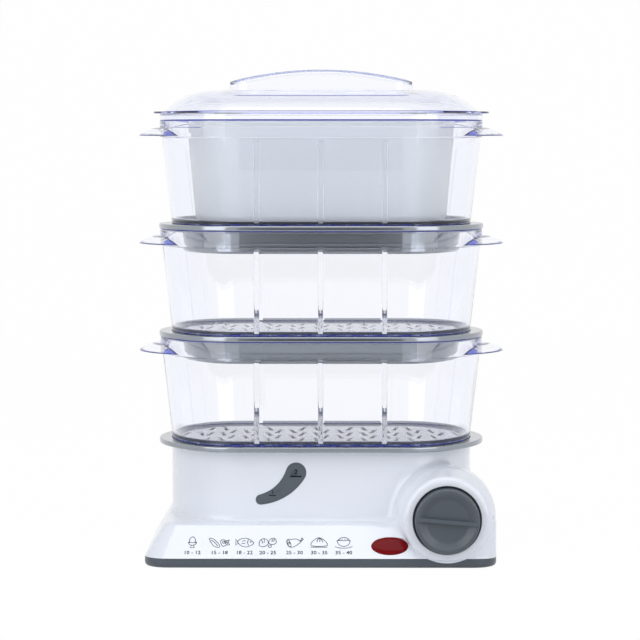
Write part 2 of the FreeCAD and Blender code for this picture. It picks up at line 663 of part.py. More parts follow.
def make_housing():
    """White outer shell: flared skirt with the sloped panel, upright body and knob boss."""
    body = new_body("housing")
    low = outline_sketch(
        body, "skirt_low", rectangle("base_half_width", "base_front", "base_back", "base_corner"),
        at=("0", "0", "pan_top"),
    )
    high = outline_sketch(
        body, "skirt_high", rectangle("shelf_half_width", "shelf_front", "base_back", "shelf_corner"),
        at=("0", "0", "shelf_top"),
    )
    loft(body, [low, high])
    upright = plan_sketch(body, "upright", "body_inset", "shelf_top - housing_wall")
    pad(body, upright, "housing_top - shelf_top + housing_wall")
    on_knob = ("knob_x", "0", "knob_z")
    boss = outline_sketch(body, "boss", boss_profile("0", "boss_face", "boss_tail"), at=on_knob)
    revolve(body, boss)
    cheek = outline_sketch(
        body, "cheek", boss_cheek("0", "base_front", "base_corner"), at=("0", "0", "pan_top")
    )
    pad(body, cheek, "knob_z - pan_top")
    trim = outline_sketch(
        body, "trim", rectangle("base_half_width", "base_front", "base_back", "base_corner"),
        at=("0", "0", "pan_top"),
    )
    pocket(body, trim, "knob_z", forwards=False)

    wall = "housing_wall"
    low_in = rectangle(f"base_half_width - {wall}", f"base_front - {wall}", f"base_back - {wall}",
                       f"base_corner - {wall}")
    high_in = rectangle(f"shelf_half_width - {wall}", f"shelf_front - {wall}", f"base_back - {wall}",
                        f"shelf_corner - {wall}")
    loft(body, [
        outline_sketch(body, "skirt_low_in", low_in, at=("0", "0", "pan_top")),
        outline_sketch(body, "skirt_high_in", high_in, at=("0", "0", f"shelf_top - {wall}")),
    ], cut=True)
    inside = plan_sketch(body, "upright_in", f"body_inset + {wall}", f"shelf_top - {wall}")
    pocket(body, inside, f"housing_top - shelf_top + 2 * {wall}")
    boss_in = outline_sketch(
        body, "boss_in", boss_profile(f"-{wall}", "timer_face", f"boss_tail + {wall}"), at=on_knob
    )
    revolve(body, boss_in, cut=True)
    cheek_in = outline_sketch(
        body, "cheek_in", boss_cheek(wall, "timer_face", f"base_corner - {wall}"),
        at=("0", "0", "pan_top"),
    )
    pocket(body, cheek_in, "knob_z - pan_top")
    rebate = plan_sketch(body, "rebate", "tank_rim_inset", "housing_top - tank_flange")
    pocket(body, rebate, "2 * tank_flange")
    posts = circle_sketch(
        body, "posts", [(x, y, "post_radius") for x, y in POSTS], at=("0", "0", "column_height")
    )
    pad(body, posts, f"shelf_top - {wall} / 2 - column_height")
    pilots = circle_sketch(
        body, "pilots", [(x, y, "screw_radius + thread_fit") for x, y in POSTS],
        at=("0", "0", "column_height"),
    )
    pocket(body, pilots, "screw_bite + pilot_spare")

    knob_hole = circle_sketch(
        body, "knob_recess", [("knob_x", "knob_z", "knob_radius + knob_gap")], "XZ",
        ("0", "0", "recess_floor"),
    )
    pocket(body, knob_hole, "2 * knob_recess")
    shaft_hole = circle_sketch(
        body, "shaft_hole",
        [("knob_x", "knob_z", "shaft_radius + shaft_hole_fit")]
        + [(f"knob_x {sign} timer_screw_offset", "knob_z", "timer_screw_radius + small_hole_fit")
           for sign in "+-"],
        "XZ", ("0", "0", "timer_face - housing_wall / 2"),
    )
    pocket(body, shaft_hole, "2 * housing_wall")
    window = window_sketch(
        body, "window_hole", "window_fit", "rim_half_depth - body_inset - 2 * housing_wall"
    )
    pocket(body, window, "3 * housing_wall")
    lens = ellipse_on_panel(body, "lens_hole", "window_fit", "-lens_depth")
    pocket(body, lens, "2 * lens_depth")
    gland = circle_sketch(
        body, "gland_hole", [("gland_x", "gland_z", "gland_radius")], "XZ",
        ("0", "0", "-base_back - housing_wall / 2"),
    )
    pocket(body, gland, "2 * housing_wall")


def make_water_window():
    body = new_body("water_window")
    front = "rim_half_depth - body_inset"
    pad(body, window_sketch(body, "window", "0", f"{front} - housing_wall"),
        "housing_wall + window_proud")


def make_indicator():
    body = new_body("indicator_lens")
    pad(body, ellipse_on_panel(body, "lens", "0", "-lens_depth"), "lens_depth + lens_proud / 2")
    crown = ellipse_on_panel(body, "lens_crown", "-lens_crown_inset", "0")
    pad(body, crown, "lens_proud")

    lamp = new_body("neon_lamp")
    tube = circle_sketch(lamp, "tube", [(LAMP_Y, LAMP_Z, "lamp_radius")], "YZ", ("0", "0", "lens_x"))
    pad(lamp, tube, "lamp_length", middle=True)


# ---------------------------------------------------------------- base: timer and knob
def make_timer():
    on_axis = ("knob_x", "0", "knob_z")
    case = new_body("timer_body")
    profile = [
        ("0", "-timer_face"), ("timer_radius", "-timer_face"),
        ("timer_radius", "-timer_face + timer_depth"), ("0", "-timer_face + timer_depth"),
    ]
    revolve(case, outline_sketch(case, "case", profile, at=on_axis))
    holes = circle_sketch(
        case, "shaft_socket", [("knob_x", "knob_z", "shaft_radius + shaft_fit")], "XZ",
        ("0", "0", "timer_face - shaft_in_timer - pilot_spare"),
    )
    pocket(case, holes, "shaft_in_timer + 2 * pilot_spare")
    screws = circle_sketch(
        case, "screw_sockets",
        [(f"knob_x {sign} timer_screw_offset", "knob_z", "timer_screw_radius + thread_fit")
         for sign in "+-"],
        "XZ", ("0", "0", "timer_face - timer_screw_bite - pilot_spare"),
    )
    pocket(case, screws, "timer_screw_bite + 2 * pilot_spare")

    bell = new_body("timer_bell")
    back = "-timer_face + timer_depth"
    dome = [
        ("0", back), ("bell_stud", back), ("bell_stud", f"{back} + bell_depth - bell_gauge"),
        ("bell_radius - bell_bevel - bell_gauge / 2", f"{back} + bell_depth - bell_gauge"),
        ("bell_radius - bell_gauge", f"{back} + bell_depth - bell_bevel - bell_gauge / 2"),
        ("bell_radius - bell_gauge", f"{back} + bell_gap"), ("bell_radius", f"{back} + bell_gap"),
        ("bell_radius", f"{back} + bell_depth - bell_bevel"),
        ("bell_radius - bell_bevel", f"{back} + bell_depth"), ("0", f"{back} + bell_depth"),
    ]
    revolve(bell, outline_sketch(bell, "dome", dome, at=on_axis))

    screws = new_body("timer_screws")
    screws.AllowCompound = True
    places = [(f"knob_x {sign} timer_screw_offset", "knob_z") for sign in "+-"]
    heads = circle_sketch(
        screws, "heads", [(*p, "timer_head_radius") for p in places], "XZ", ("0", "0", "recess_floor")
    )
    pad(screws, heads, "timer_screw_head")
    shanks = circle_sketch(
        screws, "shanks", [(*p, "timer_screw_radius") for p in places], "XZ",
        ("0", "0", "timer_face - timer_screw_bite"),
    )
    pad(screws, shanks, "housing_wall + timer_screw_bite + timer_screw_head / 2")

    shaft = new_body("timer_shaft")
    rod = circle_sketch(
        shaft, "rod", [("knob_x", "knob_z", "shaft_radius")], "XZ",
        ("0", "0", "timer_face - shaft_in_timer"),
    )
    pad(shaft, rod, "shaft_in_timer + knob_back - timer_face + shaft_in_knob")
    flat = outline_sketch(
        shaft, "flat",
        [("knob_x - shaft_radius", "knob_z + shaft_flat"), ("knob_x + shaft_radius", "knob_z + shaft_flat"),
         ("knob_x + shaft_radius", "knob_z + 2 * shaft_radius"),
         ("knob_x - shaft_radius", "knob_z + 2 * shaft_radius")],
        "XZ", ("0", "0", "knob_back"),
    )
    pocket(shaft, flat, "2 * shaft_in_knob")


def make_timer_knob():
    """Cup-shaped knob: a dished face crossed by a grip bar, hollow behind, with a D bore in its hub."""
    body = new_body("timer_knob")
    on_axis = ("knob_x", "0", "knob_z")
    front = "-(knob_back + knob_height)"
    profile = [
        ("0", "-knob_back"), ("knob_radius", "-knob_back"),
        ("knob_radius - knob_draft", f"{front} + knob_bevel"),
        ("knob_radius - knob_draft - knob_bevel", front),
        ("knob_radius - knob_draft - knob_bevel - knob_rim", front),
        ("knob_dish_radius", f"{front} + knob_dish"), ("0", f"{front} + knob_dish"),
    ]
    revolve(body, outline_sketch(body, "cup", profile, at=on_axis))
    bar = new_sketch(body, "bar", "XZ", ("knob_x", "knob_z", "knob_back + knob_height - knob_dish - knob_wall / 2"))
    turn = FreeCAD.Rotation(UP, -value("grip_bar_angle"))
    bar.AttachmentOffset = FreeCAD.Placement(bar.AttachmentOffset.Base, turn)
    half_bar = "grip_bar_width / 2"
    draw_outline(
        bar, rectangle("knob_radius - knob_draft - knob_bevel", half_bar, half_bar, "grip_bar_round")
    )
    pad(body, bar, "knob_dish + knob_wall / 2 + grip_bar_proud")
    hollow = [
        ("hub_radius", "-knob_back + hub_gap"), ("hub_radius", f"{front} + knob_dish + knob_wall"),
        ("knob_radius - knob_wall", f"{front} + knob_dish + knob_wall"),
        ("knob_radius - knob_wall", "-knob_back + hub_gap"),
    ]
    revolve(body, outline_sketch(body, "hollow", hollow, at=on_axis), cut=True)
    bore = new_sketch(body, "bore", "XZ", ("knob_x", "knob_z", "knob_back"))
    radius, flat = value("shaft_radius + thread_fit"), value("shaft_flat + thread_fit")
    rise = math.asin(flat / radius)
    across = radius * math.cos(rise)
    bore.addGeometry([
        arc(0, 0, radius, 2 * QUARTER - rise, 4 * QUARTER + rise),
        Part.LineSegment(Vector(across, flat, 0), Vector(-across, flat, 0)),
    ], False)
    bore.addConstraint(Constraint("Coincident", 0, END, 1, START))
    bore.addConstraint(Constraint("Coincident", 1, END, 0, START))
    bore.addConstraint(Constraint("Horizontal", 1))
    bore.addConstraint(Constraint("Coincident", 0, CENTRE, *ORIGIN))
    dimension(bore, Constraint("Radius", 0, radius), "radius", "shaft_radius + thread_fit")
    dimension(bore, Constraint("DistanceY", *ORIGIN, 1, START, flat), "flat", "shaft_flat + thread_fit")
    pocket(body, bore, "shaft_in_knob + small_hole_fit")


# ---------------------------------------------------------------- base: tank and heater
def make_water_tank():
    """Tub that hangs by its flange in the housing's top rebate, with a hole for the heater plate."""
    body = new_body("water_tank")
    rim = plan_sketch(body, "rim", "tank_rim_inset + tank_rim_fit", "housing_top - tank_flange")
    pad(body, rim, "tank_flange")
    under = "tank_floor_z - tank_wall"
    tub = plan_sketch(body, "tub", "tank_outer_inset", under)
    pad(body, tub, f"housing_top - ({under}) - tank_flange / 2")
    bosses = circle_sketch(
        body, "clamp_bosses", [("clamp_screw_circle", "0", "clamp_boss_radius")],
        at=("0", "0", "plate_top - plate_gauge"),
    )
    boss = pad(body, bosses, "seal_thickness + plate_gauge + tank_wall / 2")
    circle_pattern(body, [boss], 3)
    water = plan_sketch(body, "water", "tank_outer_inset + tank_wall", "tank_floor_z")
    pocket(body, water, "housing_top")
    hole = circle_sketch(body, "plate_hole", [("0", "0", "tank_hole_radius")], at=("0", "0", under))
    pocket(body, hole, "2 * tank_wall")
    pilot = circle_sketch(
        body, "clamp_pilots", [("clamp_screw_circle", "0", "clamp_screw_radius + thread_fit")],
        at=("0", "0", "plate_top - plate_gauge"),
    )
    drill = pocket(body, pilot, "seal_thickness + plate_gauge + small_hole_fit")
    circle_pattern(body, [drill], 3)


PIN_ANGLE = "(element_arc / 2 - 4) * 1deg"
PIN_X, PIN_Y = f"element_ring_radius * cos({PIN_ANGLE})", f"element_ring_radius * sin({PIN_ANGLE})"


def ring_profile(inner, outer, bottom, top):
    return [(inner, bottom), (outer, bottom), (outer, top), (inner, top)]


def make_heater():
    """Pressed steel plate, its seal and clamp, the tubular element and the two cut-outs below it."""
    seal = new_body("plate_seal")
    section = ring_profile(
        "tank_hole_radius + clamp_gap", "plate_radius", "plate_top", "plate_top + seal_thickness"
    )
    revolve(seal, outline_sketch(seal, "section", section, "XZ"))

    plate = new_body("heating_plate")
    top, gauge = "plate_top", "plate_gauge"
    dish = [
        ("0", f"{top} + plate_dome_rise"), ("plate_dome_radius", f"{top} + plate_dome_rise"),
        ("plate_dome_radius + plate_slope", top), ("plate_radius", top),
        ("plate_radius", f"{top} - {gauge}"),
        (f"plate_dome_radius + plate_slope - {gauge} / 2", f"{top} - {gauge}"),
        (f"plate_dome_radius - {gauge} / 2", "plate_dome_under"), ("0", "plate_dome_under"),
    ]
    revolve(plate, outline_sketch(plate, "dish", dish, "XZ"))

    element = new_body("heating_element")
    middle, low_z = "element_ring_radius", "plate_dome_under - element_height"
    section = outline_sketch(element, "tube", [
        (f"{middle} - element_low_width / 2", low_z), (f"{middle} + element_low_width / 2", low_z),
        (f"{middle} + element_top_width / 2", "plate_dome_under"),
        (f"{middle} - element_top_width / 2", "plate_dome_under"),
    ], "XZ")
    ring = revolve(element, section, middle=True)
    ring.setExpression("Angle", full("element_arc * 1deg"))
    pins = circle_sketch(
        element, "pins", [(PIN_X, f"{side} * {PIN_Y}", "pin_radius") for side in ("1", "-1")],
        at=("0", "0", f"{low_z} - pin_length"),
    )
    pad(element, pins, "pin_length + element_height / 2")

    clamp = new_body("heater_clamp")
    clamp_top = "plate_top - plate_gauge"
    band = ring_profile(
        "tank_hole_radius + clamp_gap", "clamp_radius", f"{clamp_top} - clamp_gauge", clamp_top
    )
    revolve(clamp, outline_sketch(clamp, "band", band, "XZ"))
    hole = circle_sketch(
        clamp, "clamp_hole", [("clamp_screw_circle", "0", "clamp_screw_radius + small_hole_fit")],
        at=("0", "0", f"{clamp_top} - 2 * clamp_gauge"),
    )
    circle_pattern(clamp, [pocket(clamp, hole, "3 * clamp_gauge")], 3)

    screws = new_body("clamp_screws")
    screws.AllowCompound = True
    under = f"{clamp_top} - clamp_gauge"
    head = circle_sketch(
        screws, "head", [("clamp_screw_circle", "0", "clamp_head_radius")],
        at=("0", "0", f"{under} - clamp_screw_head"),
    )
    shank = circle_sketch(
        screws, "shank", [("clamp_screw_circle", "0", "clamp_screw_radius")],
        at=("0", "0", f"{under} - clamp_screw_head"),
    )
    features = [
        pad(screws, head, "clamp_screw_head"),
        pad(screws, shank, "clamp_screw_head + clamp_gauge + seal_thickness + plate_gauge"),
    ]
    circle_pattern(screws, features, 3)

    thermostat = new_body("thermostat")
    can = circle_sketch(
        thermostat, "can", [("0", "0", "thermostat_radius")],
        at=("0", "0", "plate_dome_under - thermostat_height"),
    )
    pad(thermostat, can, "thermostat_height")
    for name, side in (("left_tab", "-1"), ("right_tab", "1")):
        near, far = f"{side} * tab_x - tab_gauge / 2", f"{side} * tab_x + tab_gauge / 2"
        tab = outline_sketch(
            thermostat, name, [(near, "-tab_half_width"), (far, "-tab_half_width"),
                               (far, "tab_half_width"), (near, "tab_half_width")],
            at=("0", "0", "plate_dome_under - thermostat_height - tab_length"),
        )
        pad(thermostat, tab, "tab_length + tab_gauge")

    fuse = new_body("thermal_fuse")
    fuse_z = "plate_dome_under - fuse_radius"
    barrel = circle_sketch(fuse, "barrel", [("fuse_y", fuse_z, "fuse_radius")], "YZ")
    pad(fuse, barrel, "fuse_length", middle=True)
    reach, low = "(fuse_radius + strap_foot)", f"{fuse_z} - fuse_radius - strap_gauge"
    strap = outline_sketch(
        fuse, "strap",
        [(f"fuse_y - {reach}", "plate_dome_under"), (f"fuse_y - {reach}", low),
         (f"fuse_y + {reach}", low), (f"fuse_y + {reach}", "plate_dome_under")],
        "YZ",
    )
    pad(fuse, strap, "strap_width", middle=True)


def make_mains_side():
    gland = new_body("cord_gland")
    wall_out, wall_in = "base_back", "base_back - housing_wall"
    section = [
        ("gland_bore", f"{wall_in} - gland_lip_length"),
        ("gland_radius + gland_lip", f"{wall_in} - gland_lip_length"),
        ("gland_radius + gland_lip", wall_in), ("gland_radius", wall_in), ("gland_radius", wall_out),
        ("gland_flange_radius", wall_out),
        ("gland_flange_radius - gland_bevel", f"{wall_out} + gland_flange"),
        ("gland_bore", f"{wall_out} + gland_flange"),
    ]
    revolve(gland, outline_sketch(gland, "section", section, at=("gland_x", "0", "gland_z")))

    block = new_body("terminal_block")
    outline = [
        ("gland_x - block_length / 2", "block_y - block_width / 2"),
        ("gland_x + block_length / 2", "block_y - block_width / 2"),
        ("gland_x + block_length / 2", "block_y + block_width / 2"),
        ("gland_x - block_length / 2", "block_y + block_width / 2"),
    ]
    pad(block, outline_sketch(block, "block", outline, at=("0", "0", "pan_inside_z")), "block_height")


def make_inner_leads():
    """Insulated wires from the terminal block to the element and the thermostat, and on to the lamp."""
    body = new_body("inner_leads")
    body.AllowCompound = True
    block_front = "block_y - block_width / 2"
    lamp_back = f"{LAMP_Y} + lamp_radius"
    pin = f"{PIN_X} - pin_radius"
    routes = {
        "live": (0, "Y", [("gland_x - lead_pitch", block_front), ("gland_x - lead_pitch", PIN_Y), (pin, PIN_Y)]),
        "neutral": (1, "Y", [("gland_x", block_front), ("gland_x", f"-{PIN_Y}"), (pin, f"-{PIN_Y}")]),
        "sense": (2, "Y", [("gland_x + lead_pitch", block_front), ("gland_x + lead_pitch", "0"),
                           ("-(tab_x + tab_gauge / 2)", "0")]),
        "lamp": (2, "X", [("tab_x + tab_gauge / 2", "0"), ("lens_x", "0"), ("lens_x", lamp_back)]),
    }
    for name, (layer, first_run, stops) in routes.items():
        level = f"lead_z + {layer} * lead_step"
        path = path_sketch(body, name, stops, "lead_bend", level)
        x, y = stops[0]
        if first_run == "Y":
            end = circle_sketch(body, name + "_end", [(x, level, "lead_radius")], "XZ", ("0", "0", f"-({y})"))
        else:
            end = circle_sketch(body, name + "_end", [(y, level, "lead_radius")], "YZ", ("0", "0", x))
        wire = body.newObject("PartDesign::AdditivePipe", name + "_wire")
        wire.Profile = end
        wire.Spine = (path, [])


# ---------------------------------------------------------------- stack
def make_steam_ring():
    """Loose ring over the heater plate: water enters by the gates at its foot, steam leaves on top."""
    body = new_body("steam_ring", "tank_floor_z")
    height = "housing_top - dish_depth - steam_ring_gap - tank_floor_z"
    wall, neck = "steam_ring_wall", f"{height} - steam_ring_neck"
    profile = [
        (f"steam_ring_radius - {wall}", "0"), ("steam_ring_radius", "0"),
        ("steam_ring_radius", f"{neck} - steam_ring_slope"), ("steam_ring_neck_radius", neck),
        ("steam_ring_neck_radius", height), (f"steam_ring_neck_radius - {wall}", height),
        (f"steam_ring_neck_radius - {wall}", f"{neck} - {wall}"),
        (f"steam_ring_radius - {wall}", f"{neck} - {wall} - steam_ring_slope"),
    ]
    revolve(body, outline_sketch(body, "wall", profile, "XZ"))
    gate = outline_sketch(
        body, "gate",
        [("-gate_width / 2", "-gate_round"), ("gate_width / 2", "-gate_round"),
         ("gate_width / 2", "gate_height", "gate_round"),
         ("-gate_width / 2", "gate_height", "gate_round")],
        "XZ", ("0", "0", "steam_ring_radius - 3 * steam_ring_wall"),
    )
    circle_pattern(body, [pocket(body, gate, "6 * steam_ring_wall")], 4)


def flange_edge():
    """Outer edge of a collar or tray flange, from its underside up to the seat of the foot above."""
    bevel, thick = "flange_bevel", "flange_thickness"
    seat = "foot_inset - seat_clearance"
    return [
        (bevel, "0"), ("0", bevel), ("0", f"{thick} - {bevel}"), (bevel, thick), (seat, thick),
        (seat, "tier_seat"),
    ]


def make_drip_tray():
    body = new_body("drip_tray", "housing_top")
    outer = "dish_inset"
    sweep_round_plan(body, "tray_wall", flange_edge() + [
        (f"{outer} + dish_wall", "tier_seat"), (f"{outer} + dish_wall", "dish_wall - dish_depth"),
        (f"{outer} + 2 * dish_wall", "dish_wall - dish_depth"),
        (f"{outer} + 2 * dish_wall", "-dish_depth"), (outer, "-dish_depth"), (outer, "0"),
    ])
    floor = plan_sketch(body, "dish_floor", f"{outer} + 1.5 * dish_wall", "-dish_depth")
    pad(body, floor, "dish_wall")
    chimney = circle_sketch(
        body, "chimney", [("0", "0", "chimney_radius + chimney_wall")], at=("0", "0", "-dish_depth")
    )
    pad(body, chimney, "chimney_rise")
    flue = circle_sketch(
        body, "flue", [("0", "0", "chimney_radius")], at=("0", "0", "-dish_depth - dish_wall")
    )
    pocket(body, flue, "chimney_rise + 2 * dish_wall")


def make_collar(label, level):
    """Adapter ring: it rests on a basket's rim, and the next basket's foot stands in its seat."""
    body = new_body(label, level)
    skirt, depth = "collar_skirt_inset", "collar_skirt_depth"
    bead = "band_inset + rim_wall + bead_clearance"
    sweep_round_plan(body, label + "_ring", flange_edge() + [
        (f"{skirt} + collar_wall", "tier_seat"),
        (f"{skirt} + collar_step + collar_wall", f"-{depth}"),
        (f"{skirt} + collar_step + collar_lip", f"-{depth}"),
        (f"{skirt} + collar_step", f"-{depth} + collar_lip_bevel"),
        (f"{skirt} + collar_step", "-collar_step_height"), (skirt, "-collar_step_height"), (skirt, "0"),
        (f"{bead} + bead_width", "0"), (f"{bead} + bead_width", "-bead_height"),
        (bead, "-bead_height"), (bead, "0"),
    ])
    return body


def slot_pair(body, name, column, row):
    """Two slots that lean towards each other, either side of a column's centre line."""
    sketch = new_sketch(body, name, "XY", (column, row, "0"))
    tilt = math.radians(value("slot_tilt"))
    half_length, half_width = value("slot_length / 2"), value("slot_width / 2")
    along = Vector(math.sin(tilt), math.cos(tilt), 0)
    across = Vector(math.cos(tilt), -math.sin(tilt), 0)
    for index, side in enumerate((-1, 1)):
        lean = Vector(-side * along.x, along.y, 0) * half_length
        wide = Vector(across.x, side * -across.y, 0) * half_width
        middle = Vector(side * value("slot_offset"), 0, 0)
        ends = [middle - lean - wide, middle - lean + wide, middle + lean + wide, middle + lean - wide]
        first = 4 * index
        sketch.addGeometry([Part.LineSegment(ends[k], ends[(k + 1) % 4]) for k in range(4)], False)
        for k in range(4):
            sketch.addConstraint(Constraint("Coincident", first + k, END, first + (k + 1) % 4, START))
        flip = "-" if side < 0 else ""
        lean_x, lean_y = "slot_length / 2 * sin(slot_tilt * 1deg)", "slot_length / 2 * cos(slot_tilt * 1deg)"
        wide_x, wide_y = "slot_width / 2 * cos(slot_tilt * 1deg)", "slot_width / 2 * sin(slot_tilt * 1deg)"
        for k, (s_lean, s_wide) in enumerate(((-1, -1), (-1, 1), (1, 1), (1, -1))):
            x = f"{flip}slot_offset + {-side * s_lean} * {lean_x} + {s_wide} * {wide_x}"
            y = f"{s_lean} * {lean_y} + {side * s_wide} * {wide_y}"
            place_point(sketch, first + k, START, f"slot{index}end{k}", x, y)
    return sketch


VISOR_SPAN = 150


def make_basket(label, level):
    """Clear tub moulded in one: drafted wall, rim band, two visor grips, ribs and a slotted floor."""
    body = new_body(label, level)
    foot = plan_sketch(body, label + "_foot", "foot_inset")
    ledge = plan_sketch(body, label + "_ledge", "ledge_inset", "ledge_height")
    loft(body, [foot, ledge])
    band = plan_sketch(body, label + "_band", "band_inset", "ledge_height")
    pad(body, band, "basket_height - ledge_height")

    tip, rise, thin = "visor_radius", "visor_rise", "visor_thickness"
    shoulder, shoulder_rise = f"{tip} - visor_shoulder", "visor_shoulder_rise"
    visor = outline_sketch(
        body, label + "_visor",
        [(f"{tip} - visor_depth", rise), (shoulder, shoulder_rise), (tip, "0"),
         (f"{tip} - 1.5 * {thin}", "0"), (shoulder, f"{shoulder_rise} - {thin}"),
         (f"{tip} - visor_depth", f"{rise} - {thin}")],
        "XZ", ("rim_half_width + visor_reach - visor_radius", "ledge_height + visor_lift", "0"),
    )
    grip = revolve(body, visor, angle=VISOR_SPAN, middle=True)
    mirror(body, [grip], "YZ")

    inner_foot = "foot_inset + basket_wall"
    inner_rim = "band_inset + rim_wall"
    loft(body, [
        plan_sketch(body, label + "_in_low", f"{inner_foot} + corner_fill", "basket_floor"),
        plan_sketch(body, label + "_in_foot", inner_foot, "basket_floor + corner_fill"),
        plan_sketch(body, label + "_in_rim", inner_rim, "basket_height"),
    ], cut=True)

    top = "(ledge_height - rib_gap_to_ledge)"
    low_y = f"-(rim_half_depth - ({inner_foot}))"
    high_y = f"{low_y} - ({top} - basket_floor - corner_fill) * wall_slope"
    rib = outline_sketch(
        body, label + "_rib",
        [(f"{low_y} - rib_bury", "basket_floor - rib_bury"),
         (f"{low_y} + rib_depth", "basket_floor - rib_bury"),
         (f"{high_y} + rib_depth", f"{top} - rib_chamfer"), (f"{high_y} - rib_bury", top)],
        "YZ",
    )
    repeat_rib(body, pad(body, rib, "rib_width", middle=True))
    cut_slots(body)
    return body


def repeat_rib(body, rib):
    """The middle rib of the front wall, copied to either side of it and to the back wall."""
    label = body.Label
    both = body.newObject("PartDesign::MultiTransform", label + "_ribs")
    both.Originals = [rib]
    axes = {o.Role: o for o in body.Origin.OriginFeatures}
    row = body.newObject("PartDesign::LinearPattern", label + "_rib_row")
    row.Direction = (axes["X_Axis"], [""])
    row.Mode = "Spacing"
    row.Occurrences = 2
    row.setExpression("Offset", full("rib_spacing"))
    sides = body.newObject("PartDesign::Mirrored", label + "_rib_sides")
    sides.MirrorPlane = (axes["YZ_Plane"], [""])
    walls = body.newObject("PartDesign::Mirrored", label + "_rib_walls")
    walls.MirrorPlane = (axes["XZ_Plane"], [""])
    both.Transformations = [row, sides, walls]
    body.Tip = both


def cut_slots(body):
    """The herringbone of floor slots: columns of two rows between columns of three."""
    label = body.Label
    two_rows = slot_pair(body, label + "_even", "-3.5 * column_pitch", "-row_pitch / 2")
    cut = pocket(body, two_rows, "basket_floor")
    repeat(body, [cut], "X", "2 * column_pitch", 5, "Y", "row_pitch", 2)
    three_rows = slot_pair(body, label + "_odd", "-4.5 * column_pitch", "-row_pitch")
    cut = pocket(body, three_rows, "basket_floor")
    repeat(body, [cut], "X", "2 * column_pitch", 5, "Y", "row_pitch", 3)
    for side, column in (("left", "-5.5 * column_pitch"), ("right", "5.5 * column_pitch")):
        ends = slot_pair(body, f"{label}_{side}", column, "0")
        pocket(body, ends, "basket_floor")


def make_rice_bowl():
    """Closed bowl that stands on the top basket's floor, inside the ribs."""
    body = new_body("rice_bowl", "upper_basket_z + basket_floor")
    slant = "(bowl_foot_inset - bowl_rim_inset) / bowl_height"
    corner = "bowl_corner"
    loft(body, [
        plan_sketch(body, "bowl_foot", f"bowl_foot_inset + {corner}"),
        plan_sketch(body, "bowl_turn", f"bowl_foot_inset + {corner} / 4 - {corner} / 3 * {slant}",
                    f"{corner} / 3"),
        plan_sketch(body, "bowl_wall", f"bowl_foot_inset - {corner} * {slant}", corner),
        plan_sketch(body, "bowl_rim", "bowl_rim_inset", "bowl_height"),
    ])
    wall = "bowl_wall"
    loft(body, [
        plan_sketch(body, "bowl_foot_in", f"bowl_foot_inset + {corner} + {wall} / 2", wall),
        plan_sketch(body, "bowl_wall_in", f"bowl_foot_inset - {corner} * {slant} + {wall}",
                    f"{corner} + {wall} / 2"),
        plan_sketch(body, "bowl_rim_in", f"bowl_rim_inset + {wall}", "bowl_height"),
    ], cut=True)


CREST_ROUNDING = 0.96


def grip_apex(half_length, end_z, rise):
    """Corner where the two slopes of the grip's back meet, rounded until it is one long arc."""
    slope = f"sqrt(({half_length}) ^ 2 + ({rise}) ^ 2)"
    return "0", f"{end_z} + {rise}", f"{CREST_ROUNDING} * {slope} * ({half_length}) / ({rise})"


DOME_SLOPES = [(0.7, 0.7), (0.55, 0.85), (0.35, 0.95), (0.2, 1)]


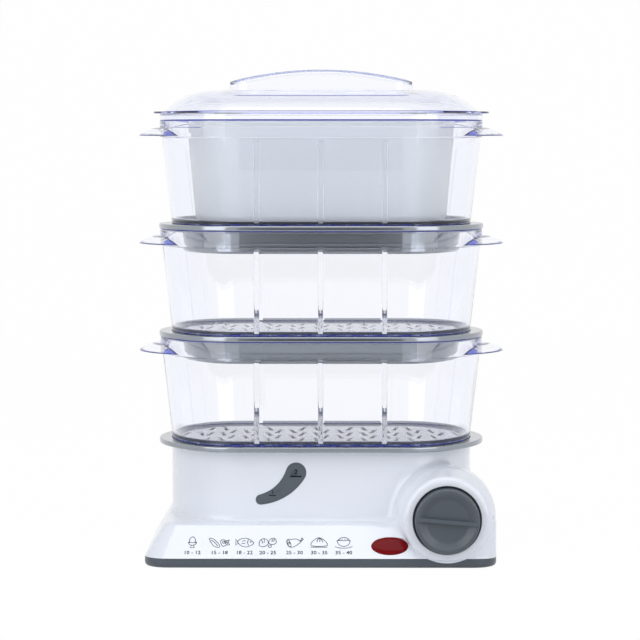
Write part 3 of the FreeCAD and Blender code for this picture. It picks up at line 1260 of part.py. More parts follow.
def make_lid():
    """Clear domed lid: plate with end tabs, rim band, locating skirts at the ends, dome and loaf grip."""
    body = new_body("lid", "lid_z")
    plate_z, crown_z = "lid_band_height", "lid_band_height + lid_plate + dome_height"
    plate_top = "lid_band_height + lid_plate"
    wall, foot = "lid_wall", "dome_foot_inset"
    plate = plan_sketch(body, "plate", "lid_plate_inset", plate_z)
    pad(body, plate, "lid_plate")
    tab = circle_sketch(
        body, "tab", [("rim_half_width + lid_tab_reach - lid_tab_radius", "0", "lid_tab_radius")],
        at=("0", "0", plate_z),
    )
    mirror(body, [pad(body, tab, "lid_plate")], "YZ")
    band = plan_sketch(body, "band", "band_inset", "0")
    pad(body, band, plate_z)
    locator = plan_sketch(body, "locator", "locator_inset", "-locator_depth")
    pad(body, locator, "locator_depth")

    steps = [(foot, plate_top)]
    steps += [(f"dome_{k}_inset", f"{plate_top} + dome_{k}_rise") for k in ("low", "mid", "high")]
    steps += [("dome_crown_inset", crown_z)]
    outside = [plan_sketch(body, f"dome{k}", inset, z) for k, (inset, z) in enumerate(steps)]
    loft(body, outside)
    loaf = outline_sketch(
        body, "loaf",
        rectangle("grip_half_length", "grip_half_depth", "grip_half_depth", "grip_end_radius"),
        at=("0", "0", f"{crown_z} - {wall} / 2"),
    )
    pad(body, loaf, f"grip_rise + {wall}")
    crest = outline_sketch(body, "loaf_crest", [
        ("-grip_half_length", f"{crown_z} + grip_end_rise"),
        grip_apex("grip_half_length", f"{crown_z} + grip_end_rise", "2 * (grip_rise - grip_end_rise)"),
        ("grip_half_length", f"{crown_z} + grip_end_rise"),
        ("grip_half_length", f"{crown_z} + 2 * grip_rise"), ("-grip_half_length", f"{crown_z} + 2 * grip_rise"),
    ], "XZ")
    pocket(body, crest, "4 * grip_half_depth", middle=True)

    straight = plan_sketch(body, "under_plate", "locator_inset + locator_wall", "-locator_depth")
    pocket(body, straight, f"locator_depth + {plate_z}")
    inner = [(f"{foot} + {wall}", plate_z)]
    inner += [(f"{inset} + {wall} * {aside}", f"{z} - {wall} * {down}")
              for (inset, z), (aside, down) in zip(steps[1:], DOME_SLOPES)]
    loft(body, [plan_sketch(body, f"in{k}", inset, z) for k, (inset, z) in enumerate(inner)], cut=True)
    under_crown = f"{crown_z} - 1.5 * {wall}"
    ends = rectangle("grip_half_length - grip_wall", "grip_half_depth - grip_wall",
                     "grip_half_depth - grip_wall", "grip_end_radius - grip_wall")
    pocket(body, outline_sketch(body, "loaf_ends", ends, at=("0", "0", under_crown)),
           f"grip_end_rise - grip_wall + 1.5 * {wall}")
    half, end_z = "grip_half_length - grip_end_radius", f"{crown_z} + grip_end_rise - grip_wall"
    shoulder = "1.6 * (grip_rise - grip_end_rise) * grip_end_radius / grip_half_length"
    hollow = outline_sketch(
        body, "loaf_back",
        [(f"-({half})", under_crown), (half, under_crown), (half, f"{end_z} + {shoulder}"),
         grip_apex(half, f"{end_z} + {shoulder}", "1.5 * (grip_rise - grip_end_rise)"),
         (f"-({half})", f"{end_z} + {shoulder}")],
        "XZ",
    )
    pocket(body, hollow, "2 * (grip_half_depth - grip_wall)", middle=True)

    for side, name in ((-1, "front"), (1, "back")):
        gap = outline_sketch(
            body, f"{name}_gap",
            [("-locator_start - locator_slope", "-locator_depth - lid_wall"),
             ("locator_start + locator_slope", "-locator_depth - lid_wall"),
             ("locator_start", "0"), ("-locator_start", "0")],
            "XZ", ("0", "0", f"{-side} * rim_half_depth"),
        )
        pocket(body, gap, "rim_half_depth", forwards=side > 0)
    vents = circle_sketch(
        body, "vents",
        [(f"{x} * vent_reach", f"{y} * vent_spread", "vent_radius") for x in (-1, 1) for y in (-1, 1)],
        at=("0", "0", f"{plate_z}"),
    )
    pocket(body, vents, "dome_height + lid_plate + lid_wall")


# ---------------------------------------------------------------- build, check, write
make_bottom_pan()
make_feet()
make_base_screws()
make_housing()
make_water_window()
make_indicator()
make_timer()
make_timer_knob()
make_water_tank()
make_heater()
make_mains_side()
make_inner_leads()
make_steam_ring()
make_drip_tray()
lower_basket = make_basket("lower_basket", "lower_basket_z")
for tier in ("middle", "upper"):
    clone(lower_basket, f"{tier}_basket", f"{tier}_basket_z")
lower_collar = make_collar("lower_collar", "lower_collar_z")
clone(lower_collar, "upper_collar", "upper_collar_z")
make_rice_bowl()
make_lid()
doc.recompute()

failed = [o for o in doc.Objects if {"Invalid", "Error"} & set(o.State)]
if failed:
    raise RuntimeError("; ".join(f"{o.Label}: {o.getStatusString()}" for o in failed))
bodies = [o for o in doc.Objects if o.isDerivedFrom("PartDesign::Body")]
os.makedirs("parts", exist_ok=True)
for part in bodies:
    if part.Shape.isNull() or not part.Shape.isValid():
        raise RuntimeError(f"{part.Label} has no valid shape")
for part in bodies:
    part.Shape.exportStep(f"parts/{part.Label}.step")
    print(f"{part.Label:16} {len(part.Shape.Solids)} solid(s) {part.Shape.Volume / 1000:8.1f} cm3")
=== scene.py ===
# %% [markdown]
# Three-tier electric food steamer
#
# A white base boils a little water and sends the steam up through three clear tubs. The packed
# model already holds every piece at its real size, so this lesson dresses it: each visible
# moulding is drawn again with the rounded edges that it has in the hand, and each piece gets the
# finish of its own plastic, steel or rubber. We load the model first.

# %% Load the imported model
import math

import bmesh
import bpy
from mathutils import Matrix, Vector


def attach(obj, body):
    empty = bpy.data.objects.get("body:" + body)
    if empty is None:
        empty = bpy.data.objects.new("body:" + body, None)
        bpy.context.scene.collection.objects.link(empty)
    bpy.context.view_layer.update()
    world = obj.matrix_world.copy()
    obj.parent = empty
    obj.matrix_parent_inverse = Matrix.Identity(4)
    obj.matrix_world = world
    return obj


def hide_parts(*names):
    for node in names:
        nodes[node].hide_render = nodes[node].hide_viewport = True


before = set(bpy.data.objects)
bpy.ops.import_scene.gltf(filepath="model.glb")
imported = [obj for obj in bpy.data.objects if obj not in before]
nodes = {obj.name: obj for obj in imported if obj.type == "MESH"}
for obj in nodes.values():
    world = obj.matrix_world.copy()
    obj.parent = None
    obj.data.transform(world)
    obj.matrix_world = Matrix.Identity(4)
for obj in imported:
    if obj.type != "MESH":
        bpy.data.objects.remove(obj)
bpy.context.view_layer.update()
MM = 0.001
scene = bpy.context.scene

# %% [markdown]
# Camera
#
# A catalogue view is taken from far away with a long lens, so that upright sides stay upright.
# The eye is level with the top tier and looks a little down, and it stands a finger's width to
# the right of the middle.

# %% Camera
EYE_DISTANCE, EYE_HEIGHT, EYE_ASIDE = 2.450, 0.3464, 0.014
AIM = Vector((-0.001, 0.0, 0.1933))
FOCAL_LENGTH, SENSOR = 164.0, 36.0

camera_data = bpy.data.cameras.new("view")
camera_data.lens, camera_data.sensor_width = FOCAL_LENGTH, SENSOR
camera = bpy.data.objects.new("view", camera_data)
scene.collection.objects.link(camera)
camera.location = (EYE_ASIDE, -EYE_DISTANCE, EYE_HEIGHT)
aim = AIM - camera.location
camera.rotation_euler = aim.to_track_quat("-Z", "Y").to_euler()
scene.camera = camera
print("camera looks down", round(math.degrees(math.asin(-aim.normalized().z)), 2), "degrees")

# %% [markdown]
# Studio
#
# Clear mouldings show what is behind them, so the studio decides how they look. The sweep and the
# room are plain white to the eye, to mirrored rays and to rays that pass through the tubs. For
# plain light the room is pale and slightly blue, which gives the base its cool shading. A low
# dark card, which glows faintly, stands behind the camera: flat fronts of the grey rings mirror
# it and stay dark, while their round corners mirror the white room. That is how glossy goods get
# their shape in a catalogue. Light goes through many walls here and runs along inside them, so
# the number of bounces is raised, also for mirrored light. Two tall lamps far out at the sides
# make round corners brighter than flat fronts, and a weak one above opens the shelf.

# %% Studio
ROOM_COLOUR, ROOM_STRENGTH = (0.86, 0.90, 1.0, 1.0), 0.36
SWEEP_WHITE, SWEEP_SHARE = (0.93, 0.93, 0.94, 1.0), 0.985
WHITE = (1.0, 1.0, 1.0, 1.0)
BOUNCES = 32

scene.view_settings.view_transform = "Standard"
scene.cycles.max_bounces = BOUNCES
scene.cycles.transmission_bounces = BOUNCES
scene.cycles.glossy_bounces = BOUNCES
scene.cycles.transparent_max_bounces = BOUNCES


def new_material(name):
    """A material, its tree and its main shader."""
    material = bpy.data.materials.new(name)
    material.use_nodes = True
    return material, material.node_tree, material.node_tree.nodes["Principled BSDF"]


def seen_directly(tree):
    """1 for rays from the eye and for rays that the object mirrors or lets through."""
    light_path = tree.nodes.new("ShaderNodeLightPath")
    reached = light_path.outputs["Is Camera Ray"]
    for kind in ("Is Transmission Ray", "Is Glossy Ray"):
        either = tree.nodes.new("ShaderNodeMath")
        either.operation = "MAXIMUM"
        tree.links.new(reached, either.inputs[0])
        tree.links.new(light_path.outputs[kind], either.inputs[1])
        reached = either.outputs[0]
    return reached


world = bpy.data.worlds.new("room")
scene.world = world
world.use_nodes = True
room = world.node_tree
background = room.nodes["Background"]
background.inputs["Color"].default_value = ROOM_COLOUR
background.inputs["Strength"].default_value = ROOM_STRENGTH
white = room.nodes.new("ShaderNodeBackground")
choose = room.nodes.new("ShaderNodeMixShader")
room.links.new(seen_directly(room), choose.inputs["Fac"])
room.links.new(background.outputs[0], choose.inputs[1])
room.links.new(white.outputs[0], choose.inputs[2])
white.inputs["Color"].default_value = WHITE
room.links.new(choose.outputs[0], room.nodes["World Output"].inputs["Surface"])

sweep_paper, paper, paper_shader = new_material("sweep_paper")
paper_shader.inputs["Base Color"].default_value = SWEEP_WHITE
paper_shader.inputs["Roughness"].default_value = 0.9
glow = paper.nodes.new("ShaderNodeEmission")
glow.inputs["Color"].default_value = WHITE
lift = paper.nodes.new("ShaderNodeMixShader")
share = paper.nodes.new("ShaderNodeMath")
share.operation = "MULTIPLY"
share.inputs[1].default_value = SWEEP_SHARE
paper.links.new(seen_directly(paper), share.inputs[0])
paper.links.new(share.outputs[0], lift.inputs["Fac"])
paper.links.new(paper_shader.outputs[0], lift.inputs[1])
paper.links.new(glow.outputs[0], lift.inputs[2])
paper.links.new(lift.outputs[0], paper.nodes["Material Output"].inputs["Surface"])

card_black, _, card_shader = new_material("card_black")
for label, given in (("Base Color", (0.02, 0.02, 0.02, 1)), ("Roughness", 0.9),
                     ("Emission Color", (0.55, 0.64, 0.85, 1)), ("Emission Strength", 0.03)):
    card_shader.inputs[label].default_value = given


def stage_sheet(name, material, width, depth, location, tilt=0.0):
    """A flat sheet of the studio, which isn't part of the object."""
    bpy.ops.mesh.primitive_plane_add(size=1, location=location, rotation=(tilt, 0, 0))
    sheet = bpy.context.object
    sheet.name = name
    sheet.data.transform(Matrix.Diagonal((width, depth, 1, 1)))
    sheet.data.materials.append(material)


stage_sheet("floor", sweep_paper, 8.0, 4.0, (0, 0.6, 0))
stage_sheet("backdrop", sweep_paper, 8.0, 7.0, (0, 2.6, 3.4), math.pi / 2)
stage_sheet("dark_card", card_black, 0.62, 0.72, (0, -2.8, -0.05), math.pi / 2)


def soft_panel(name, energy, width, height, location):
    """A soft lamp that faces the middle of the stack."""
    lamp = bpy.data.lights.new(name, "AREA")
    lamp.shape, lamp.energy, lamp.size, lamp.size_y = "RECTANGLE", energy, width, height
    panel = bpy.data.objects.new(name, lamp)
    panel.location = location
    to_middle = Vector((0, 0, 0.2)) - Vector(location)
    panel.rotation_euler = to_middle.to_track_quat("-Z", "Y").to_euler()
    scene.collection.objects.link(panel)
    print(name, "at", location, "with", energy, "W")


soft_panel("left_panel", 24, 1.7, 2.6, (-1.60, -1.50, 0.90))
soft_panel("right_panel", 22, 1.7, 2.6, (1.62, -1.50, 0.90))
soft_panel("top_panel", 9, 1.5, 0.9, (-0.1, -0.55, 1.9))

# %% [markdown]
# The skin that every moulding shares
#
# No moulded surface is mathematically smooth. Melt that cools in a steel tool keeps a very fine
# orange peel, its gloss changes a little along the flow, and handling leaves a few duller
# patches. One shader group makes all three, and each plastic places it with its own values.

# %% Shader group: moulded skin


def new_group(name, inputs, outputs):
    """An empty shader group with float, colour or vector sockets, and its two end nodes."""
    tree = bpy.data.node_groups.new(name, "ShaderNodeTree")
    for direction, sockets in (("INPUT", inputs), ("OUTPUT", outputs)):
        for label, kind, default in sockets:
            socket = tree.interface.new_socket(label, in_out=direction,
                                               socket_type="NodeSocket" + kind)
            if default is not None:
                socket.default_value = default
    return tree, tree.nodes.new("NodeGroupInput"), tree.nodes.new("NodeGroupOutput")


def add(tree, kind, settings=None, **inputs):
    """A node with its settings and input values or links given by name."""
    node = tree.nodes.new("ShaderNode" + kind)
    for key, setting in (settings or {}).items():
        setattr(node, key, setting)
    for label, given in inputs.items():
        key = int(label[1:]) if label[0] == "_" else label.replace("__", " ")
        socket = node.inputs[key]
        if isinstance(given, bpy.types.NodeSocket):
            tree.links.new(given, socket)
        else:
            socket.default_value = given
    return node


skin_group, skin_in, skin_out = new_group(
    "moulded_skin",
    [("Colour", "Color", (0.8, 0.8, 0.8, 1)), ("Roughness", "Float", 0.3), ("Peel", "Float", 0.03),
     ("Peel Size", "Float", 1400.0), ("Patchiness", "Float", 0.1)],
    [("Colour", "Color", None), ("Roughness", "Float", None), ("Normal", "Vector", None)],
)
place = add(skin_group, "TexCoord").outputs["Object"]
flow = add(skin_group, "TexNoise", Vector=place, Scale=14.0, Detail=3.0)
peel = add(skin_group, "TexNoise", Vector=place, Scale=skin_in.outputs["Peel Size"], Detail=1.0)
spread = add(skin_group, "MapRange", Value=flow.outputs["Fac"], From__Min=0.3, From__Max=0.7,
             To__Min=-0.5, To__Max=0.5)
patch = add(skin_group, "Math", {"operation": "MULTIPLY"}, _0=spread.outputs[0],
            _1=skin_in.outputs["Patchiness"])
gloss = add(skin_group, "Math", {"operation": "MULTIPLY_ADD"},
            _0=patch.outputs[0], _1=skin_in.outputs["Roughness"], _2=skin_in.outputs["Roughness"])
shade = add(skin_group, "Math", {"operation": "MULTIPLY_ADD"}, _0=patch.outputs[0], _1=0.16, _2=1.0)
tint = add(skin_group, "VectorMath", {"operation": "SCALE"}, _0=skin_in.outputs["Colour"],
           Scale=shade.outputs[0])
bump = add(skin_group, "Bump", Height=peel.outputs["Fac"], Distance=0.0002,
           Strength=skin_in.outputs["Peel"])
skin_group.links.new(tint.outputs[0], skin_out.inputs["Colour"])
skin_group.links.new(gloss.outputs[0], skin_out.inputs["Roughness"])
skin_group.links.new(bump.outputs["Normal"], skin_out.inputs["Normal"])
print("group", skin_group.name, "has", len(skin_group.nodes), "nodes")

# %% [markdown]
# Opaque plastics, rubber and wire
#
# These differ in colour, gloss and grain only, so one short function makes them all. The shell
# is glossy, the pan and knob have a satin skin, rubber is dull and coarse. The rings between the
# tiers are a silver-grey plastic full of metal flakes, which mirrors the room, and their inner
# sides are painted a plain dark grey, which is painted shade for the inside of the rings and the
# tray. The sides of the floor slots are white, as frosted plastic is.

# %% Opaque finishes


def principled(material):
    return material.node_tree.nodes["Principled BSDF"]


def moulded(name, colour, roughness, peel=0.03, peel_size=1400.0, patchiness=0.15, **shader):
    """A moulded finish: the skin group drives colour, roughness and normal."""
    material, tree, bsdf = new_material(name)
    group = tree.nodes.new("ShaderNodeGroup")
    group.node_tree = skin_group
    for label, given in (("Colour", (*colour, 1)), ("Roughness", roughness), ("Peel", peel),
                         ("Peel Size", peel_size), ("Patchiness", patchiness)):
        group.inputs[label].default_value = given
    for source, target in (("Colour", "Base Color"), ("Roughness", "Roughness"),
                           ("Normal", "Normal")):
        tree.links.new(group.outputs[source], bsdf.inputs[target])
    for label, given in shader.items():
        bsdf.inputs[label.replace("_", " ")].default_value = given
    return material


white_shell = moulded("white_shell", (0.80, 0.83, 0.89), 0.18, peel=0.02, Coat_Weight=0.3)
dark_plastic = moulded("dark_plastic", (0.070, 0.084, 0.102), 0.34, peel=0.06)
grey_plastic = moulded("grey_plastic", (0.30, 0.325, 0.36), 0.16, peel=0.008, patchiness=0.08,
                       Metallic=0.94)
# Painted shade: the plain dark grey that goes inside the rings and the tray.
painted_shade_grey = moulded("painted_shade_grey", (0.075, 0.085, 0.10), 0.5, peel=0.06)
foot_rubber = moulded("foot_rubber", (0.03, 0.03, 0.033), 0.75, peel=0.3, peel_size=2500.0)
seal_rubber = moulded("seal_rubber", (0.45, 0.46, 0.47), 0.55, peel=0.1)
inner_plastic = moulded("inner_plastic", (0.72, 0.70, 0.64), 0.45, peel=0.08)
lead_insulation = moulded("lead_insulation", (0.62, 0.60, 0.56), 0.6, peel=0.2, peel_size=4000.0)
ink = moulded("ink", (0.006, 0.007, 0.012), 0.6, peel=0.02, Specular_IOR_Level=0.1)
slot_white = moulded("slot_white", (0.88, 0.90, 0.94), 0.4, peel=0.02)

# %% [markdown]
# Metals
#
# Steel here is rolled sheet: the plate over the heater is brushed, and the heater's sheath is
# blotchy. The brush marks are noise stretched sixtyfold along one direction, which drives both
# roughness and a very shallow bump.

# %% Metals


def rolled_metal(name, colour, roughness, stretch=(1, 60, 60)):
    material, tree, bsdf = new_material(name)
    place_at = add(tree, "Mapping", Vector=add(tree, "TexCoord").outputs["Object"], Scale=stretch)
    marks = add(tree, "TexNoise", Vector=place_at.outputs[0], Scale=40.0, Detail=4.0)
    dull = add(tree, "MapRange", Value=marks.outputs["Fac"], To__Min=roughness * 0.6,
               To__Max=roughness * 1.5)
    relief = add(tree, "Bump", Height=marks.outputs["Fac"], Distance=0.0001, Strength=0.15)
    ends = add(tree, "Mix", {"data_type": "RGBA"}, Factor=marks.outputs["Fac"])
    ends.inputs["A"].default_value = (*[c * 0.86 for c in colour], 1)
    ends.inputs["B"].default_value = (*colour, 1)
    tree.links.new(ends.outputs["Result"], bsdf.inputs["Base Color"])
    tree.links.new(dull.outputs[0], bsdf.inputs["Roughness"])
    tree.links.new(relief.outputs[0], bsdf.inputs["Normal"])
    bsdf.inputs["Metallic"].default_value = 1.0
    return material


steel = rolled_metal("steel", (0.66, 0.66, 0.67), 0.28)
element_sheath = rolled_metal("element_sheath", (0.30, 0.31, 0.33), 0.5, stretch=(20, 20, 20))

# %% [markdown]
# Clear plastics
#
# The tubs are a clear, hard plastic. Straight through a wall it is almost invisible. Light that
# runs along inside a wall goes through a lot of it and leaves the edges blue, so the plastic
# soaks up some red and green on the way. The rounded edges are also painted a deeper blue, which
# is painted shade for light that runs along inside them. The floor is painted a darker blue-grey,
# which is painted shade for the dark tray seen through it, and it is less glossy than the walls,
# so that its slots show. Real refraction keeps the ribs and rims bright and dark in the right
# places. For rays that look for a lamp the plastic steps aside, so that the tubs are as bright
# inside as they are in a room.

# %% Clear finishes
PLASTIC_IOR = 1.49


def clear(name, colour, glancing, roughness, transmission=1.0, lets_through=0.92,
          depth_tint=None):
    """A see-through plastic, with one colour straight on and another at a glancing angle."""
    material, tree, bsdf = new_material(name)
    place_at = add(tree, "TexCoord").outputs["Object"]
    haze = add(tree, "TexNoise", Vector=place_at, Scale=11.0, Detail=0.0)
    dull = add(tree, "MapRange", Value=haze.outputs["Fac"], To__Min=roughness * 0.8,
               To__Max=roughness * 1.2)
    facing = add(tree, "LayerWeight", Blend=0.5)
    turn = add(tree, "Mix", {"data_type": "RGBA"}, Factor=facing.outputs["Facing"])
    turn.inputs["A"].default_value = (*colour, 1)
    turn.inputs["B"].default_value = (*glancing, 1)
    tree.links.new(turn.outputs["Result"], bsdf.inputs["Base Color"])
    tree.links.new(dull.outputs[0], bsdf.inputs["Roughness"])
    bsdf.inputs["Transmission Weight"].default_value = transmission
    bsdf.inputs["IOR"].default_value = PLASTIC_IOR
    aside = add(tree, "BsdfTransparent", Color=(lets_through, lets_through, lets_through, 1))
    light_path = add(tree, "LightPath")
    mixed = tree.nodes.new("ShaderNodeMixShader")
    tree.links.new(light_path.outputs["Is Shadow Ray"], mixed.inputs["Fac"])
    tree.links.new(bsdf.outputs[0], mixed.inputs[1])
    tree.links.new(aside.outputs[0], mixed.inputs[2])
    tree.links.new(mixed.outputs[0], tree.nodes["Material Output"].inputs["Surface"])
    if depth_tint:
        inside = add(tree, "VolumeAbsorption", Color=(*depth_tint[:3], 1), Density=depth_tint[3])
        tree.links.new(inside.outputs[0], tree.nodes["Material Output"].inputs["Volume"])
    return material


BLUE_DEPTH = (0.30, 0.42, 0.96, 13.0)
# The clear plastic is painted a little darker and bluer at a glancing angle: painted shade along
# its edges.
clear_plastic = clear("clear_plastic", (0.99, 0.993, 1.0), (0.95, 0.96, 0.99), 0.01,
                      depth_tint=BLUE_DEPTH)
# The floor is painted a darker blue-grey, which is painted shade for the dark tray seen through it.
# Its low specular level makes it less glossy.
floor_painted_shade = clear("floor_painted_shade", (0.66, 0.70, 0.86), (0.60, 0.65, 0.84), 0.03)
principled(floor_painted_shade).inputs["Specular IOR Level"].default_value = 0.08
# Painted blue shade for the rounded edges, standing in for light that runs along inside them.
painted_edge_shade = clear("painted_edge_shade", (0.22, 0.27, 0.78), (0.16, 0.20, 0.70), 0.05, transmission=0.75,
                   depth_tint=BLUE_DEPTH)
# The bowl is painted whiter at a glancing angle than straight on: a painted highlight on its round
# corners.
bowl_plastic = clear("bowl_plastic", (0.79, 0.83, 0.865), (0.97, 0.98, 1.0), 0.35,
                     transmission=0.55, lets_through=0.7)
tank_plastic = clear("tank_plastic", (0.88, 0.90, 0.93), (0.80, 0.84, 0.90), 0.30, transmission=0.5,
                     lets_through=0.7)
smoke_window = clear("smoke_window", (0.10, 0.12, 0.145), (0.07, 0.08, 0.10), 0.08,
                     transmission=0.2, lets_through=0.2)
# The lens is painted a brighter red at a glancing angle: a painted highlight on its rim.
red_lens = clear("red_lens", (0.19, 0.0, 0.003), (0.23, 0.002, 0.01), 0.10, transmission=0.1,
                 lets_through=0.3)
principled(red_lens).inputs["Specular IOR Level"].default_value = 0.05
lamp_glass = clear("lamp_glass", (0.95, 0.9, 0.85), (0.8, 0.75, 0.7), 0.02)

# %% [markdown]
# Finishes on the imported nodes
#
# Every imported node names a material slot. The first pass gives each node the finish of its slot,
# so that nothing is left bare, whatever is redrawn later.

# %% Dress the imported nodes
FINISHES = {material.name.split(".")[0]: material for material in (
    white_shell, dark_plastic, grey_plastic, clear_plastic, bowl_plastic, tank_plastic,
    smoke_window,
    red_lens, lamp_glass, steel, seal_rubber, foot_rubber, element_sheath, inner_plastic,
    lead_insulation)}
for part in nodes.values():
    for slot in part.material_slots:
        slot.material = FINISHES[slot.material.name.split(".")[0]]
print("finishes:", len(FINISHES))

# %% [markdown]
# Outlines
#
# Everything that stacks shares one plan: flat front and back, round corners, and ends that bow
# outward. A mould maker draws such a wall as one cross-section that travels round the plan. An
# outline here is a list of stations, each with the centre and radius of its arc and the angle
# that it faces, so an inset is only a smaller radius. Lengths are in millimetres.

# %% Outlines
HALF_DEPTH = 97
CORNER_X, CORNER_Y, CORNER_RADIUS = 65.59, 42, 55
END_X, END_RADIUS, BOW = 16.06, 119.94, 40.3


def fan(x, y, radius, start, stop, steps):
    """Stations along one arc, angles in degrees."""
    turns = [math.radians(start + (stop - start) * k / steps) for k in range(steps + 1)]
    return [(x, y, radius, turn) for turn in turns]


def tier_plan():
    """Anticlockwise from the front: round corner, bowed end and round corner, on either side."""
    def corner(side, up, start):
        return fan(side * CORNER_X, up * CORNER_Y, CORNER_RADIUS, start, start + 90 - BOW, 9)

    def end(side, middle):
        return fan(side * END_X, 0, END_RADIUS, middle - BOW, middle + BOW, 16)[1:-1]

    return (corner(1, -1, -90) + end(1, 0) + corner(1, 1, BOW)
            + corner(-1, 1, 90) + end(-1, 180) + corner(-1, -1, 180 + BOW))


def rectangle_plan(half_x, front, back, radius, steps=8):
    """Stations round a rounded rectangle that reaches from -front to +back."""
    corners = ((1, -front + radius, -90), (1, back - radius, 0), (-1, back - radius, 90),
               (-1, -front + radius, 180))
    return [station for side, y, start in corners
            for station in fan(side * (half_x - radius), y, radius, start, start + 90, steps)]


def ring_at(outline, inset, z):
    """One ring of points: the outline, moved inward by the inset, at height z."""
    return [(x + (radius - inset) * math.cos(turn), y + (radius - inset) * math.sin(turn), z)
            for x, y, radius, turn in outline]


def inset_of(x, y):
    """How far inside the plan's outline a point lies."""
    x, y = abs(x), abs(y)
    if x < CORNER_X and y > CORNER_Y:
        return HALF_DEPTH - y
    if math.atan2(y - CORNER_Y, x - CORNER_X) > math.radians(BOW):
        return CORNER_RADIUS - math.hypot(x - CORNER_X, y - CORNER_Y)
    return END_RADIUS - math.hypot(x - END_X, y)


PLAN = tier_plan()
reach = ring_at(PLAN, 0, 0)
print("plan:", len(PLAN), "stations, reach", round(max(p[0] for p in reach), 2),
      round(max(p[1] for p in reach), 2))

# %% [markdown]
# Cross-sections and skins
#
# A cross-section is a list of corners (inset, z), each with an edge radius where a real tool has
# one, and with a mark where the rounded edge gets a finish of its own. Rings of points at each
# station are then joined into one skin. Its two ends are capped, or joined to each other where
# the wall is a closed ring. A flat face is framed by a narrow strip on either side of it, so that
# the shading of a rounded edge stays in the strip and the flat face mirrors like a flat one.

# %% Skins
FLAT_MARGIN, MARGIN_SHARE, TRIM_SHARE = 0.3, 0.009, 0.49


def rounded(corners, closed=False, steps=4):
    """Section points with each (a, b, radius, mark) corner as an arc, and a mark for each run."""
    points, marks = [], []
    count = len(corners)
    for k, corner in enumerate(corners):
        here = Vector(corner[:2])
        radius, mark = (corner[2:] + (0, 0))[:2]
        if not radius or (not closed and k in (0, count - 1)):
            points.append(tuple(here))
            marks.append(0)
            continue
        back = Vector(corners[k - 1][:2]) - here
        ahead = Vector(corners[(k + 1) % count][:2]) - here
        trim = min(radius / math.tan(back.angle(ahead) / 2), TRIM_SHARE * back.length,
                   TRIM_SHARE * ahead.length)
        first, last = here + back.normalized() * trim, here + ahead.normalized() * trim
        points.append(tuple(first + back.normalized()
                            * min(FLAT_MARGIN, MARGIN_SHARE * back.length)))
        marks.append(0)
        for s in range(steps + 1):
            t = s / steps
            points.append(tuple(first * (1 - t) ** 2 + here * 2 * t * (1 - t) + last * t * t))
            marks.append(mark if s < steps else 0)
        points.append(tuple(last + ahead.normalized()
                            * min(FLAT_MARGIN, MARGIN_SHARE * ahead.length)))
        marks.append(0)
    return points, marks


def skin(name, rings, materials, marks=None, closed=False, place=None):
    """A solid through rings of points, all of one length."""
    count, last = len(rings[0]), len(rings) - 1
    points = [Vector(p) for ring in rings for p in ring]
    if place:
        points = [place @ p for p in points]
    faces, slots = [], []
    for k in range(last + closed):
        low, high = k * count, ((k + 1) % len(rings)) * count
        for j in range(count):
            n = (j + 1) % count
            faces.append((low + j, low + n, high + n, high + j))
            slots.append(marks[k] if marks else 0)
    if not closed:
        faces += [tuple(reversed(range(count))), tuple(range(last * count, last * count + count))]
        slots += [0, 0]
    mesh = bpy.data.meshes.new(name)
    mesh.from_pydata([p * MM for p in points], [], faces)
    for material in materials:
        mesh.materials.append(material)
    mesh.polygons.foreach_set("material_index", slots)
    piece = bpy.data.objects.new(name, mesh)
    scene.collection.objects.link(piece)
    work = bmesh.new()
    work.from_mesh(mesh)
    bmesh.ops.recalc_face_normals(work, faces=work.faces)
    work.to_mesh(mesh)
    work.free()
    return piece


def swept(name, corners, materials, outline=None, closed=False, level=0, steps=4):
    """A cross-section carried round an outline."""
    points, marks = rounded(corners, closed, steps)
    rings = [ring_at(outline or PLAN, inset, z + level) for inset, z in points]
    return skin(name, rings, materials, marks, closed)


def turned(name, corners, materials, place, steps=4, sides=96, closed=False):
    """A cross-section (radius, height) turned about an axis, on the lathe of its place matrix."""
    points, marks = rounded(corners, closed, steps)
    turns = [2 * math.pi * k / sides for k in range(sides)]
    rings = [[(r * math.cos(a), r * math.sin(a), h) for a in turns] for r, h in points]
    return skin(name, rings, materials, marks, closed, place)


# %% [markdown]
# Joining and cutting
#
# Solids are added and cut the way a tool is: the outside form first, then the core that makes the
# hollow, then slots and holes. Last, each piece is put on the body that it rides on, the imported
# node that it stands for is hidden, and its edges are kept sharp only where two faces really meet
# at an angle.

# %% Joining and cutting
WELD, SLIVER = 0.00001, 0.000004


def applied(piece):
    """Bakes the piece's modifiers into its mesh."""
    baked = bpy.data.meshes.new_from_object(
        piece.evaluated_get(bpy.context.evaluated_depsgraph_get()), preserve_all_data_layers=False)
    name, old = piece.data.name, piece.data
    piece.modifiers.clear()
    piece.data = baked
    bpy.data.meshes.remove(old)
    baked.name = name


def combine(operation, piece, *tools):
    """UNION or DIFFERENCE of the piece with each tool in turn; the tools are used up."""
    for tool in tools:
        step = piece.modifiers.new("shape", "BOOLEAN")
        step.operation, step.solver, step.object = operation, "MANIFOLD", tool
    applied(piece)
    for tool in tools:
        bpy.data.objects.remove(tool)
    if not piece.data.polygons:
        raise RuntimeError(piece.name + " came out empty")


def joined(name, pieces):
    """Separate solids as one object."""
    work = bmesh.new()
    for piece in pieces:
        work.from_mesh(piece.data)
    mesh = bpy.data.meshes.new(name)
    work.to_mesh(mesh)
    work.free()
    for material in pieces[0].data.materials:
        mesh.materials.append(material)
    for piece in pieces:
        bpy.data.objects.remove(piece)
    result = bpy.data.objects.new(name, mesh)
    scene.collection.objects.link(result)
    return result


